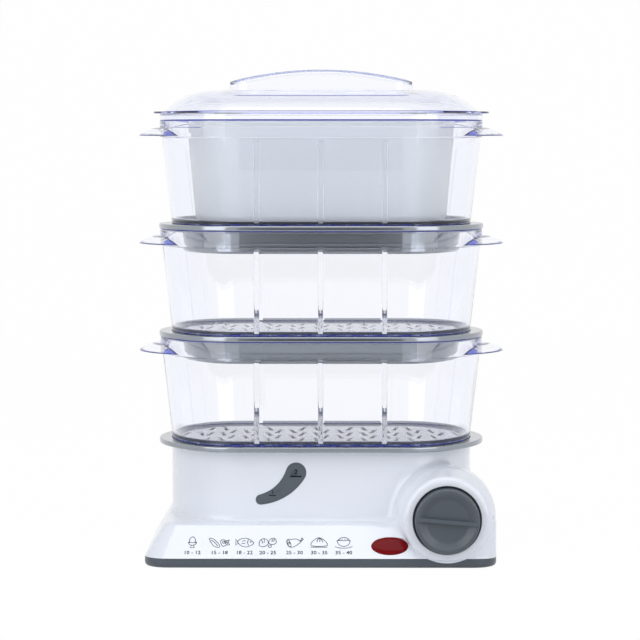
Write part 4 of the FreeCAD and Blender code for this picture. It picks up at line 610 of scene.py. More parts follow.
def settle(piece, body, node, sharp_above=34):
    """Shades the piece, hides the imported node that it stands for and puts it on its body."""
    work = bmesh.new()
    work.from_mesh(piece.data)
    bmesh.ops.remove_doubles(work, verts=work.verts, dist=WELD)
    bmesh.ops.dissolve_degenerate(work, edges=work.edges, dist=SLIVER)
    work.to_mesh(piece.data)
    work.free()
    piece.data.shade_smooth()
    piece.data.set_sharp_from_angle(angle=math.radians(sharp_above))
    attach(piece, body)
    if node:
        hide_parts(node)
    size = [round(v / MM, 1) for v in piece.dimensions]
    print(piece.name, "size", size, "mm,", len(piece.data.polygons), "faces")


def paint(piece, material, wanted):
    """Gives a finish to the faces that wanted(x, y, z of the middle, normal) picks."""
    piece.data.materials.append(material)
    index = len(piece.data.materials) - 1
    for polygon in piece.data.polygons:
        if wanted(*(polygon.center / MM), polygon.normal):
            polygon.material_index = index


def copied(piece, name, level):
    """The same moulding again, at its own height."""
    mesh = piece.data.copy()
    mesh.name = name
    mesh.transform(Matrix.Translation((0, 0, level * MM)))
    again = bpy.data.objects.new(name, mesh)
    scene.collection.objects.link(again)
    return again


# %% [markdown]
# Levels
#
# Each tier stands in a shallow seat of the ring or tray under it, so the levels follow from the
# height of the base, of a tub and of a seat.

# %% Levels
HOUSING_TOP, SEAT, TUB = 91.4, 3.4, 86.4
LOWER_BASKET = HOUSING_TOP + SEAT
LOWER_COLLAR = LOWER_BASKET + TUB
MIDDLE_BASKET = LOWER_COLLAR + SEAT
UPPER_COLLAR = MIDDLE_BASKET + TUB
UPPER_BASKET = UPPER_COLLAR + SEAT
LID = UPPER_BASKET + TUB
print("levels:", [round(z, 1) for z in (LOWER_BASKET, LOWER_COLLAR, MIDDLE_BASKET, UPPER_COLLAR,
                                        UPPER_BASKET, LID)])

# %% [markdown]
# Baskets
#
# A tub is drawn from the outside in. Its wall flares to a ledge, and a plain band goes up to the
# rim. Two visors grow out of the band at the ends; they are the finger grips, arched like the
# peak of a cap. The core then clears the inside in one go, which also trims the visors flush.
# Every edge is rounded as on a moulding. The edges carry the painted deeper blue, which is painted
# shade, and so do the roots of the visors, where the plastic is thickest.

# %% Basket: tub and visors
# The second finish is the painted blue shade of the rounded edges.
CLEAR = [clear_plastic, painted_edge_shade, slot_white]
SHADED_EDGE, SLOT_SIDE = 1, 2
LEDGE = 72.4

tub = swept("basket", [
    (40, 0), (10.8, 0, 1.4, SHADED_EDGE), (2.5, LEDGE, 0.5), (0.8, LEDGE, 0.5), (0.8, TUB, 0.7, SHADED_EDGE),
    (8, TUB), (40, TUB),
], CLEAR)
VISOR = [
    (40, 7.9), (51.7, 7.8), (57.7, 7.1), (62.6, 6.1), (66.8, 4.5), (70.4, 2.6, 2),
    (73.7, 0, 0.8, SHADED_EDGE),
    (71.2, 0, 0.8, SHADED_EDGE), (68.4, 1.9, 2), (64.6, 3.8), (60.8, 4.9), (56.2, 5.6), (51.7, 6.0),
    (40, 6.1),
]
VISOR_LEVEL, VISOR_AXIS, VISOR_SPAN, VISOR_STEPS = LEDGE + 1.2, 79.7, 75, 40
ROOT_BESIDE, ROOT_REACH = 48, 3.5


def visor(side):
    """An arched grip: its section turned 150 degrees about an upright axis, with closed ends."""
    section, marks = rounded(VISOR, closed=True, steps=3)
    turns = [math.radians(-VISOR_SPAN + 2 * VISOR_SPAN * k / VISOR_STEPS)
             for k in range(VISOR_STEPS + 1)]
    rings = [[(side * (VISOR_AXIS + r * math.cos(a)), r * math.sin(a), VISOR_LEVEL + z)
              for r, z in section]
             for a in turns]
    piece = skin("visor", rings, CLEAR)
    per_ring = len(section)
    for polygon in piece.data.polygons[:per_ring * VISOR_STEPS]:
        polygon.material_index = marks[polygon.index % per_ring]
    return piece


core = swept("core", [
    (40, 2), (15.5, 2, 1.5), (13, 4.5, 2), (2.8, TUB, 0.0), (2.0, TUB + 8), (40, TUB + 8),
], CLEAR)
combine("UNION", tub, visor(1), visor(-1))
combine("DIFFERENCE", tub, core)
# The roots of the visors also get the painted blue edge shade.
for polygon in tub.data.polygons:
    x, y, z = polygon.center / MM
    if (abs(y) > ROOT_BESIDE and -ROOT_REACH < inset_of(x, y) < 0.5 and z > LEDGE + 0.6
            and abs(polygon.normal.z) > 0.3):
        polygon.material_index = SHADED_EDGE
print("tub with visors:", len(tub.data.polygons), "faces")

# %% [markdown]
# Ribs and floor slots
#
# Six ribs stand inside the front and back walls, so that the bowl can't jam. The
# floor is slotted in a herringbone: pairs of slots lean towards each other, and columns of two
# pairs alternate with columns of three. The sides of the slots are frosted by the tool, which
# makes each slot read as a white frame.

# %% Ribs and slots
RIB_TOP, RIB_LOW = 70.4, 1.6
SLOT_HALF_WIDTH, SLOT_HALF_LENGTH, SLOT_CORNER = 1.7, 15, 0.5
RIB_SECTION = [(2.25, -0.5), (2.25, 0.9), (1.95, 1.35), (1.4, 1.6), (-1.4, 1.6), (-1.95, 1.35),
               (-2.25, 0.9), (-2.25, -0.5)]
WALL_SLOPE = (13 - 2.8) / (TUB - 4.5)


def rib(x, side):
    def level(z, depth):
        inner = HALF_DEPTH - (13 - (z - 4.5) * WALL_SLOPE)
        return [(x + u, side * (inner - min(v, depth)), z) for u, v in RIB_SECTION]
    return skin("rib", [level(RIB_LOW, 2), level(RIB_TOP - 2, 2), level(RIB_TOP, 0.2)], CLEAR)


def slot_cut(x, y, lean):
    """One slot as a prism through the floor, its long side leaning."""
    turn = Matrix.Rotation(math.radians(lean), 4, "Z")
    outline = rectangle_plan(SLOT_HALF_WIDTH, SLOT_HALF_LENGTH, SLOT_HALF_LENGTH, SLOT_CORNER, 2)
    place_at = Matrix.Translation((x, y, 0)) @ turn
    cut = skin("slot", [ring_at(outline, 0, -2), ring_at(outline, 0, 4)], CLEAR, place=place_at)
    for polygon in cut.data.polygons:
        polygon.material_index = SLOT_SIDE
    return cut


PITCH, ROW, PAIR_APART, LEAN = 19.6, 42, 5.8, 8
columns = [(k, (-0.5, 0.5)) for k in (-3.5, -1.5, 0.5, 2.5, 4.5)]
columns += [(k, (-1, 0, 1)) for k in (-4.5, -2.5, -0.5, 1.5, 3.5)]
columns += [(-5.5, (0,)), (5.5, (0,))]
cuts = [slot_cut(k * PITCH + side * PAIR_APART, row * ROW, side * LEAN)
        for k, rows in columns for row in rows for side in (-1, 1)]
combine("UNION", tub, *[rib(x, side) for x in (-52, 0, 52) for side in (-1, 1)])
combine("DIFFERENCE", tub, joined("slots", cuts))
# The top of the floor gets the painted darker shade.
paint(tub, floor_painted_shade, lambda x, y, z, n: 1.9 < z < 2.1 and n.z > 0.9)
for name, level in (("lower_basket", LOWER_BASKET), ("middle_basket", MIDDLE_BASKET),
                    ("upper_basket", UPPER_BASKET)):
    settle(copied(tub, name + "_moulding", level), name, name)
bpy.data.objects.remove(tub)

# %% [markdown]
# Collars and drip tray
#
# The grey rings between the tiers are flanges with a skirt that reaches down into the tub below.
# Their section closes on itself, so it is swept as a ring. The tray on the base has the same
# flange, but its skirt ends in a floor with a chimney for the steam.

# %% Collars and tray
GREY = [grey_plastic]
FLANGE = [(0, 0, 1.0), (0, 4.2, 1.2), (10.2, 4.2, 0.4), (10.2, SEAT, 0.3)]


def paint_inside_shade(piece, level, wall):
    """Painted shade: the plain dark grey on the seat and on everything inside the wall."""
    paint(piece, painted_shade_grey, lambda x, y, z, n: inset_of(x, y) > wall
          or (z > level + 3.3 and inset_of(x, y) > 10.3))


for name, level in (("lower_collar", LOWER_COLLAR), ("upper_collar", UPPER_COLLAR)):
    collar = swept(name + "_moulding", FLANGE + [
        (21.4, SEAT, 0.9), (22.2, -19, 0.4), (21.0, -19, 0.3), (19.8, -17.4, 0.6),
        (19.8, -12.6, 0.2),
        (19, -12.6, 0.2), (19, 0, 0.8), (5.2, 0, 0.3), (5.2, -2, 0.4), (3.4, -2, 0.4),
        (3.4, 0, 0.2),
    ], GREY, closed=True, level=level)
    # The seat and the inside of the ring are painted dark grey as painted shade.
    paint_inside_shade(collar, level, 21.2)
    settle(collar, name, name)

tray = swept("drip_tray_moulding", [
    (40, -14), (18.9, -14, 3), (18.9, 0, 0.6), *FLANGE, (20.9, SEAT, 0.9), (20.9, -12, 2.5),
    (40, -12),
], GREY, level=HOUSING_TOP)
above = Matrix.Translation((0, 0, HOUSING_TOP))
chimney = turned("chimney", [(20, -14), (33, -14), (33, 1.5, 0.8), (20, 1.5)], GREY, above)
flue = turned("flue", [(20, -16), (31, -16), (31, 3), (20, 3)], GREY, above)
combine("UNION", tray, chimney)
combine("DIFFERENCE", tray, flue)
# The seat and the inside of the tray are painted dark grey as painted shade.
paint_inside_shade(tray, HOUSING_TOP, 20.8)
settle(tray, "drip_tray", "drip_tray")

# %% [markdown]
# Rice bowl
#
# The bowl is a milky tub with a big bottom radius. Its wall leans out to a soft rim.

# %% Rice bowl
bowl = swept("rice_bowl_moulding", [
    (45, 0), (31, 0, 7), (24, 78, 0.8), (25.8, 78, 0.8), (32.8, 1.8, 6), (45, 1.8),
], [bowl_plastic], level=UPPER_BASKET + 2, steps=7)
settle(bowl, "rice_bowl", "rice_bowl")

# %% [markdown]
# Lid: outside
#
# The lid is one clear moulding: a band that stands on the rim, a plate with a tab at either end
# and a dome that rises in one smooth sweep. Each tab is part of a thin disc, of which only the
# outer crescent shows past the plate.

# %% Lid: outside
PLATE_LOW, PLATE_TOP = 5.8, 7.6
DOME = [(5.5, PLATE_TOP), (8.4, 10.9), (11.6, 13.8), (15.2, 16.4), (19, 18.6), (23.4, 20.7),
        (28, 22.5), (33, 23.7), (38, 24.6)]
CROWN = 24.7
LOAF_HALF, LOAF_END = 76.3, 16.0

lid = swept("lid_moulding", [
    (45, 0), (0.8, 0, 0.6, SHADED_EDGE), (0.8, PLATE_LOW, 0.3), (0.3, PLATE_LOW, 0.5),
    (0.3, PLATE_TOP, 0.6, SHADED_EDGE), *DOME, (45, CROWN),
], CLEAR)
tabs = [turned("tab", [(20, PLATE_LOW), (40, PLATE_LOW, 0.7, SHADED_EDGE), (40, PLATE_TOP, 0.7, SHADED_EDGE),
                       (20, PLATE_TOP)], CLEAR,
               Matrix.Translation((side * 100.6, 0, 0)), steps=2, sides=120) for side in (-1, 1)]
combine("UNION", lid, *tabs)
print("lid outside:", len(lid.data.polygons), "faces")

# %% [markdown]
# Lid: grip, hollows and vents
#
# The grip is a hollow loaf with an arched back, drawn in slices that crowd towards its ends, once
# for the outside and once, thinner, for the hollow. Under the ends of the lid a thin locating
# skirt reaches into the tub. Four small vents let the steam out.

# %% Lid: grip, hollows and vents


def arched_loaf(half_x, half_y, corner, low, ends, middle, edge, steps=26):
    """Slices along X: upright sides, rounded upper edges and an arched back."""
    rings = []
    for k in range(steps + 1):
        x = -half_x + 2 * half_x * k / steps
        x = math.copysign(half_x * abs(x / half_x) ** 0.75, x)
        beyond = max(0, abs(x) - (half_x - corner))
        depth = half_y - corner + math.sqrt(max(0, corner**2 - beyond**2))
        depth = max(depth, half_y - corner + 0.2)
        top = ends + (middle - ends) * (1 - (x / half_x) ** 2)
        soft = min(edge, depth * 0.9, (top - low) * 0.9)
        side = [(depth, low), (depth, top - soft - 0.05 * (top - low - soft))]
        side += [(depth - soft * (1 - math.cos(t)), top - soft * (1 - math.sin(t)))
                 for t in (0, 0.35, 0.75, 1.15, math.pi / 2)]
        side += [(0.96 * (depth - soft), top)]
        rings.append([(x, -y, z) for y, z in side] + [(x, y, z) for y, z in reversed(side)])
    return skin("loaf", rings, CLEAR)


combine("UNION", lid, arched_loaf(LOAF_HALF, 18, LOAF_END, 22, CROWN + 7.8, CROWN + 17.6, 3.0))
hollow = [(45, -2), (2.8, -2), (2.8, 5.0, 1.0)]
hollow += [(inset + 1.7, z - 1.9) for inset, z in DOME[:-1]]
inside = swept("lid_core", hollow + [(38, CROWN - 2.2), (45, CROWN - 2.2)], CLEAR)
combine("DIFFERENCE", lid, inside)
combine("DIFFERENCE", lid, arched_loaf(LOAF_HALF - 2, 16, LOAF_END - 2, 18, CROWN + 5.8,
                                       CROWN + 15.6, 1.5))

locator = swept("locator", [(4.1, -6.3, 0.5, SHADED_EDGE), (4.1, 7.0), (5.9, 7.0), (5.9, -6.3, 0.5, SHADED_EDGE)],
                CLEAR, closed=True)
corners = [(-101, -8.3), (101, -8.3), (85, 0), (85, 9), (-85, 9), (-85, 0)]
gap_cut = skin("gap", [[(x, y, z) for x, z in corners] for y in (-99, 99)], CLEAR)
combine("DIFFERENCE", locator, gap_cut)
combine("UNION", lid, locator)
vents = [turned("vent", [(0.5, 4), (2, 4), (2, 30), (0.5, 30)], CLEAR,
                Matrix.Translation((x, y, 0)), sides=24) for x in (-112, 112) for y in (-11, 11)]
combine("DIFFERENCE", lid, joined("vents", vents))
lid.data.transform(Matrix.Translation((0, 0, LID * MM)))
settle(lid, "lid", "lid")

# %% [markdown]
# Base pan
#
# The dark pan closes the base from below. Its lower edge is rounded far enough to lift the base
# off the table visually.

# %% Base pan
PAN_TOP, HALF_WIDTH = 8.2, 142.6
BASE_PLAN = rectangle_plan(HALF_WIDTH, 120, 98, 20)
pan = swept("bottom_pan_moulding", [
    (18, 0.4), (0, 0.4, 6.5), (0, PAN_TOP, 0.4), (2.5, PAN_TOP), (2.5, 2.9, 4), (18, 2.9),
], [dark_plastic], outline=BASE_PLAN, steps=7)
settle(pan, "base", None)

# %% [markdown]
# Housing
#
# The white shell looks like one soft form: a flared skirt with a sloped panel, an upright body and
# a round boss that swells out of both for the knob. A modeller would block it out of solids, then
# sand the joints. Each block is a function of its wall, because the same block, a wall smaller,
# later cuts the hollow.

# %% Housing: blocks
SHELL = [white_shell]
SHELF, PANEL_FRONT, BASE_FRONT = 34.0, 98.0, 120.0
KNOB_X, KNOB_Z, BOSS_FACE = 102.0, 39.5, 122.0
TO_FRONT = Matrix(((1, 0, 0, KNOB_X), (0, 0, -1, 0), (0, 1, 0, KNOB_Z), (0, 0, 0, 1)))
BOSS_RADIUS, LIP_RADIUS = 40.6, 34.6
PANEL_RISE, SKIRT_OUT, PANEL_OUT = 25.8, 15.6, 22
SKIRT_FLARE, PANEL_RUN = SKIRT_OUT / PANEL_RISE, PANEL_OUT / PANEL_RISE


def skirt_blocks(wall, low, top):
    """The flared skirt, carried on below its real lower edge."""
    rings = []
    for z in (low, top):
        out = (SHELF - z) * SKIRT_FLARE
        front = (SHELF - z) * PANEL_RUN
        outline = rectangle_plan(127 - wall + out, PANEL_FRONT - wall + front, 98 - wall,
                                 14 - wall + out * 0.38)
        rings.append(ring_at(outline, 0, z))
    return skin("skirt", rings, SHELL)


def upright_block(inset, low, top):
    return skin("upright", [ring_at(PLAN, inset, low), ring_at(PLAN, inset, top)], SHELL)


def boss_block(grow, face, tail):
    """The knob boss, from its tail inside the body to a face in front of it."""
    lip = LIP_RADIUS + (face - BOSS_FACE) * -0.25
    return turned("boss", [
        (10, tail), (18 + grow, tail), (BOSS_RADIUS + grow, 72, 18), (BOSS_RADIUS + grow, 98, 30),
        (lip + grow, face), (10, face),
    ], SHELL, TO_FRONT, steps=8)


def cheek_block(wall, front, low):
    """The part under the boss's right half, which carries its side straight down."""
    side = HALF_WIDTH - wall
    plan, _ = rounded([
        (KNOB_X, -front), (side, -front, 18), (side, -72, 18), (KNOB_X + 18 - wall, -26),
        (KNOB_X, -26),
    ], closed=True, steps=6)
    return skin("cheek", [[(x, y, z) for x, y in plan] for z in (low, KNOB_Z)], SHELL)


housing = skirt_blocks(0, -4, SHELF)
housing.name = "housing_moulding"
combine("UNION", housing, upright_block(10.5, 30, 100), boss_block(0, 128, 26),
        cheek_block(0, 120, -4))
print("housing blocks:", len(housing.data.polygons), "faces")

# %% [markdown]
# Housing: sanding
#
# The blocks get one even mesh, which is then smoothed: a little all over, which rounds the shelf
# edge, and much more where the boss grows out of the body. Crisp openings are cut afterwards.

# %% Housing: even mesh, then sanding
VOXEL, THIN_TO, SOFT_REACH = 1.5, 0.4, 20
even = housing.modifiers.new("even", "REMESH")
even.mode, even.voxel_size = "VOXEL", VOXEL * MM
applied(housing)


def crease_weight(p):
    """1 on the line where the boss meets the body, falling to 0 over a thumb's width."""
    x, y, z = p.x / MM, -p.y / MM, p.z / MM
    from_boss = abs(math.hypot(x - KNOB_X, z - KNOB_Z) - BOSS_RADIUS)
    if y > 110 or x > 141 or y < 10:
        return 0.0
    to_panel = abs((y - PANEL_FRONT) - (SHELF - z) * PANEL_RUN) * 0.76 if z < SHELF + 4 else 99
    to_front = abs(inset_of(x, y) - 10.5) if z > SHELF - 4 else 99
    to_shelf = abs(z - SHELF) if y < 100 else 99
    return max(0.0, 1 - max(from_boss, min(to_panel, to_front, to_shelf)) / SOFT_REACH)


soft = housing.vertex_groups.new(name="soft")
for vertex in housing.data.vertices:
    weight = crease_weight(vertex.co)
    if weight > 0:
        soft.add([vertex.index], weight, "REPLACE")
for label, factor, rounds, group in (("sand", 0.5, 10, ""), ("blend", 0.6, 120, "soft"),
                                     ("finish", 0.5, 4, "")):
    step = housing.modifiers.new(label, "SMOOTH")
    step.factor, step.iterations, step.vertex_group = factor, rounds, group
housing.modifiers.new("thin", "DECIMATE").ratio = THIN_TO
applied(housing)
housing.vertex_groups.clear()
print("sanded housing:", len(housing.data.polygons), "faces")

# %% [markdown]
# Openings in the housing
#
# The lower and upper edges are trimmed level, the boss gets its crisp lip and the recess that the
# knob turns in, and the window, lens and cord openings are cut through. The tool that rounds the
# nose of the boss leaves the panel and the cheek beside it alone.

# %% Housing: openings
PANEL_TILT = math.atan(PANEL_RISE / PANEL_OUT)
RISE, RUN = math.sin(PANEL_TILT), math.cos(PANEL_TILT)
ON_PANEL = Matrix(((1, 0, 0, 0), (0, RUN, -RISE, -BASE_FRONT), (0, RISE, RUN, PAN_TOP),
                   (0, 0, 0, 1)))
ON_FRONT = Matrix(((1, 0, 0, 0), (0, 0, -1, 0), (0, 1, 0, 0), (0, 0, 0, 1)))


def slab(low, high):
    """A plain cutting block."""
    (x0, y0, z0), (x1, y1, z1) = low, high
    rings = [[(x0, y0, z), (x1, y0, z), (x1, y1, z), (x0, y1, z)] for z in (z0, z1)]
    return skin("slab", rings, SHELL)


def window_outline(fit, steps=14):
    """The bent drop of the level gauge, as points (x, z)."""
    top, low = Vector((-20, 74)), Vector((-48.7, 52))
    r_top, r_low, outer, inner = 8.4 + fit, 4.2 + fit, 47 + fit, 31 - fit

    def centre(to_top, to_low):
        span = low - top
        along = (to_top**2 - to_low**2 + span.length**2) / (2 * span.length)
        aside = math.sqrt(to_top**2 - along**2)
        unit = span.normalized()
        return top + unit * along + Vector((unit.y, -unit.x)) * aside

    def arc_between(middle, radius, start, stop):
        first = math.atan2(start.y - middle.y, start.x - middle.x)
        last = math.atan2(stop.y - middle.y, stop.x - middle.x)
        last += 2 * math.pi * (last < first)
        turns = [first + (last - first) * k / steps for k in range(steps)]
        return [middle + Vector((math.cos(a), math.sin(a))) * radius for a in turns]

    outside, inside_at = centre(outer - r_top, outer - r_low), centre(inner + r_top, inner + r_low)
    far = 2 * top - outside
    points = arc_between(outside, outer, low, top)
    points += arc_between(top, r_top, far, inside_at)
    back = arc_between(inside_at, inner, low, top)
    points += [inside_at + (top - inside_at).normalized() * inner] + list(reversed(back))
    points += arc_between(low, r_low, inside_at, 2 * low - outside)
    return [(p.x, p.y) for p in points]


def prism(name, outline, low, high, materials, place=None, bevel=0.0):
    """An outline (x, y) as a solid between two heights, with its front edge softened."""
    rings = [[(x, y, low) for x, y in outline]]
    if bevel:
        work = [Vector(p) for p in outline]
        normals = []
        for k, p in enumerate(work):
            along = (work[(k + 1) % len(work)] - work[k - 1]).normalized()
            normals.append(Vector((along.y, -along.x)))
        rings.append([(x, y, high - bevel) for x, y in outline])
        for share, drop in ((0.3, 0.3), (1, 0)):
            rings.append([(p.x - n.x * bevel * share, p.y - n.y * bevel * share,
                           high - bevel * drop)
                          for p, n in zip(work, normals)])
    else:
        rings.append([(x, y, high) for x, y in outline])
    return skin(name, rings, materials, place=place)


def oval(grow, steps=64):
    turns = [2 * math.pi * k / steps for k in range(steps)]
    return [((15 + grow) * math.cos(t), (8.4 + grow) * math.sin(t)) for t in turns]


AT_LENS = ON_PANEL @ Matrix.Translation((56, 12, 0))
combine(
    "DIFFERENCE", housing, slab((-170, -150, -20), (170, 120, PAN_TOP)),
    slab((-170, -120, HOUSING_TOP), (170, 120, 120)),
    skirt_blocks(2.5, 2, SHELF - 2.5), upright_block(13, 20, 120),
    boss_block(-2.5, 113.5, 28.5), cheek_block(2.5, 113.5, 2),
)
lip = turned("lip", [(20, 112), (37.1, 112), (LIP_RADIUS, BOSS_FACE), (20, BOSS_FACE)], SHELL,
             TO_FRONT, sides=128)
combine("DIFFERENCE", lip, slab((-170, -150, 12), (170, 120, 200)),
        slab((-170, -119.9, -50), (170, 0, 50)))
combine("UNION", housing, lip)
nose = [(0.5, 140), (0.5, BOSS_FACE), (LIP_RADIUS, BOSS_FACE, 6.5), (37.6, 110), (60, 110),
        (60, 140)]
recess = turned("recess", [
    (0.5, 116), (27.6, 116), (27.6, 119.5), (27.6, 121.0), (27.9, 121.8), (28.6, 122.4),
    (28.6, 130), (0.5, 130),
], SHELL, TO_FRONT, sides=128)
nose_tool = turned("nose", nose, SHELL, TO_FRONT, steps=8, sides=128)
combine("DIFFERENCE", nose_tool, skirt_blocks(-0.4, -4, SHELF), cheek_block(-0.4, 120.4, -4))
combine(
    "DIFFERENCE", housing, nose_tool, recess,
    turned("shaft_hole", [(0.5, 108), (4.5, 108), (4.5, 118), (0.5, 118)], SHELL, TO_FRONT,
           sides=32),
    prism("window_hole", window_outline(0.05), 80, 92, SHELL, ON_FRONT),
    prism("lens_hole", oval(0.05), -4, 6, SHELL, AT_LENS),
    turned("gland_hole", [(0.5, -104), (6.5, -104), (6.5, -90), (0.5, -90)], SHELL,
           ON_FRONT @ Matrix.Translation((-70, 20, 0)), sides=48),
)
# The wall of the recess round the knob is painted in the dark plastic: painted shade for the gap
# between knob and boss.
paint(housing, dark_plastic,
      lambda x, y, z, n: math.hypot(x - KNOB_X, z - KNOB_Z) < 27.8 and -119.4 < y < -115.9)
settle(housing, "base", "housing", sharp_above=30)
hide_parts("bottom_pan")

# %% [markdown]
# Lens and window
#
# The red lens is a shallow dome of coloured plastic. The gauge window is a flat drop of smoke
# plastic with a softened edge.

# %% Lens and window
WINDOW_FACE = 86.9
lens_rings = [[(x, y, -4) for x, y in oval(0)]]
lens_rings += [[(x * s, y * s, h) for x, y in oval(0)]
               for s, h in ((1, 0.2), (0.985, 0.6), (0.93, 0.9), (0.8, 1.2), (0.55, 1.4),
                            (0.25, 1.5))]
lens = skin("indicator_lens_moulding", lens_rings, [red_lens], place=AT_LENS)
settle(lens, "base", "indicator_lens")

window = prism("water_window_moulding", window_outline(0), 84, WINDOW_FACE, [smoke_window],
               ON_FRONT, bevel=0.4)
settle(window, "base", "water_window")

# %% [markdown]
# Knob
#
# The knob is a cup with a dished face that a thin bar crosses. Off, the bar lies almost level. A
# ring-shaped hollow and a bore for the shaft keep the moulding at about one wall.

# %% Knob
DARK = [dark_plastic]
KNOB_FRONT, KNOB_BACK, DISH, BAR_TURN = 134.4, 117.9, 4.6, -5
knob = turned("timer_knob_moulding", [
    (12, KNOB_BACK), (26.4, KNOB_BACK, 0.5), (25.8, KNOB_FRONT, 1.7), (22.8, KNOB_FRONT, 1.0),
    (17.5, KNOB_FRONT - 3.6, 5), (6, KNOB_FRONT - DISH, 3), (4, KNOB_FRONT - DISH),
], DARK, TO_FRONT, sides=128, steps=6)
bar_outline = rectangle_plan(25.0, 1.9, 1.9, 1.3, 5)
bar_rings = [ring_at(bar_outline, inset, h) for inset, h in
             ((-0.3, 129), (-0.15, 131.5), (0, 133.8), (0.2, 134.5), (0.6, 134.9), (1.2, 135.0))]
bar = skin("bar", bar_rings, DARK, place=TO_FRONT @ Matrix.Rotation(math.radians(BAR_TURN), 4, "Z"))
combine("UNION", knob, bar)
hollow_back = turned("hollow_back", [(6.5, 116), (23.8, 116), (23.8, 128.4), (6.5, 128.4)], DARK,
                     TO_FRONT, closed=True, sides=64)
bore = turned("bore", [(0.5, 116), (3.0, 116), (3.0, 127.9), (0.5, 127.9)], DARK, TO_FRONT,
              sides=32)
combine("DIFFERENCE", knob, hollow_back, bore)
settle(knob, "timer", "timer_knob")

# %% [markdown]
# Printed marks
#
# The panel carries a row of small pictures with cooking times, printed in thin dark lines. They
# are drawn here as pen strokes: each is a straight or a smooth line through a few points,
# given the width of a pen. The pictures are our own plain ones, and the times are plain numbers.

# %% Pen strokes
PEN = 0.5
PROUD = 0.12


def smooth_line(points, closed=False, steps=5):
    """A soft curve through the points."""
    count = len(points)
    result = []
    for k in range(count if closed else count - 1):
        a, b, c, d = [Vector(points[(k + i) % count if closed else min(max(k + i, 0), count - 1)])
                      for i in (-1, 0, 1, 2)]
        for s in range(steps):
            t = s / steps
            result.append(0.5 * (2 * b + (c - a) * t + (2 * a - 5 * b + 4 * c - d) * t * t
                                 + (3 * b - a - 3 * c + d) * t**3))
    if not closed:
        result.append(Vector(points[-1]))
    return result


def arc_line(x, y, rx, ry, start=0, stop=360, steps=16):
    turns = [math.radians(start + (stop - start) * k / steps) for k in range(steps + 1)]
    return [(x + rx * math.cos(t), y + ry * math.sin(t)) for t in turns]


def stroke(points, width=PEN):
    """Corners and faces of a flat ribbon along the points."""
    line = [Vector(p) for p in points]
    meets_itself = (line[0] - line[-1]).length < 0.01
    verts, faces = [], []
    for k, p in enumerate(line):
        along = line[min(k + 1, len(line) - 1)] - line[max(k - 1, 0)]
        if meets_itself and k in (0, len(line) - 1):
            along = line[1] - line[-2]
        side = Vector((-along.y, along.x)).normalized() * width / 2
        verts += [p + side, p - side]
        if k:
            faces.append((2 * k - 2, 2 * k - 1, 2 * k + 1, 2 * k))
    return verts, faces


def loop(*points):
    line = smooth_line(points, closed=True)
    return line + [line[0]]


def bend(*points):
    return smooth_line(points)


EGG = [
    arc_line(0, 1.2, 2.5, 3.9, -25, 205), arc_line(0, 0.4, 3.3, 2.9, 180, 360),
    [(-3.3, 0.4), (-2.2, -0.4), (-1.1, 0.4), (0, -0.4), (1.1, 0.4), (2.2, -0.4), (3.3, 0.4)],
    [(-0.8, -2.5), (-1.9, -4.6), (1.9, -4.6), (0.8, -2.5)],
]
GREENS = [
    loop((-8.3, 3.4), (-5.6, 3.6), (-2.2, 0.6), (0.4, -3.2), (-1.6, -4.4), (-5.4, -2.2)),
    bend((-6.8, 2.4), (-4, 0), (-1.4, -3.2)),
    loop((1.0, 1.6), (3.2, 2.6), (5.4, 1.6), (7.9, 2.3), (6.9, 0.2), (8.1, -2.0), (5.2, -2.4),
         (3.0, -3.6), (1.4, -1.6)),
    arc_line(3.4, 0.2, 0.9, 1.0), arc_line(5.6, -0.6, 0.8, 0.9), arc_line(5.2, 1.0, 0.7, 0.7),
]
FISH = [
    loop((-5.6, 0.6), (-2.6, 3.4), (2.4, 3.6), (6.6, 0.8), (7.0, -1.2), (2.6, -3.8), (-1.8, -3.4)),
    [(-5.2, 0.5), (-7.6, 3.2), (-6.8, 0.2), (-7.4, -2.6), (-4.8, -0.4)],
    arc_line(4.9, 0.5, 0.4, 0.4), bend((3.2, 2.6), (2.5, 0), (3.3, -2.6)),
    bend((-1.8, 1.0), (-0.4, 1.8), (0.8, 1.0)), bend((-2.4, -1.2), (-0.8, -0.6), (0.6, -1.3)),
]
DUMPLINGS = [
    loop((-6.8, -2.8), (-6.6, 1.4), (-3.4, 3.6), (-0.4, 2.0), (0.2, -1.2), (-2.8, -3.6)),
    loop((0.6, 0.2), (2.2, 3.4), (5.2, 3.8), (6.8, 0.8), (5.4, -1.4), (2.4, -1.6)),
    bend((-5.2, 2.2), (-4.4, 0.6), (-4.8, -0.8)), bend((-3.2, 3.2), (-2.8, 1.2), (-3.4, -0.4)),
    bend((3.2, 3.4), (3.6, 1.8), (3.0, 0.6)), bend((5.0, 3.4), (4.9, 1.8), (4.3, 0.8)),
    arc_line(1.6, -3.4, 1.3, 1.1),
]
DRUMSTICK = [
    loop((-5.8, 2.4), (-2.2, 3.0), (1.6, 3.2), (4.4, 1.4), (5.0, 0.6), (3.0, -1.4), (0.2, -3.4),
         (-3.0, -4.2), (-5.4, -2.4)),
    loop((-5.8, 2.6), (-4.2, 1.4), (-3.0, -1.8), (-3.2, -4.0), (-5.2, -2.4), (-6.3, 0.8)),
    bend((4.4, 1.4), (5.8, 3.0), (5.6, 4.2), (6.6, 3.6), (7.0, 2.6), (5.9, 2.0), (5.0, 0.6)),
    arc_line(-4.7, -0.6, 0.6, 1.0),
]
BUN = [
    loop((-6.4, -2.6), (-5.6, 0.8), (-2.6, 3.4), (0, 4.4), (2.8, 3.2), (5.6, 0.6), (6.4, -2.6),
         (0, -3.4)),
    bend((0, 4.3), (-1.4, 2.4), (-1.8, 0.4)), bend((0, 4.3), (0.6, 2.4), (0.4, 0.6)),
    bend((0, 4.3), (2.2, 2.4), (2.8, 0.2)), [(-6.8, -4.2), (6.8, -4.2)],
]
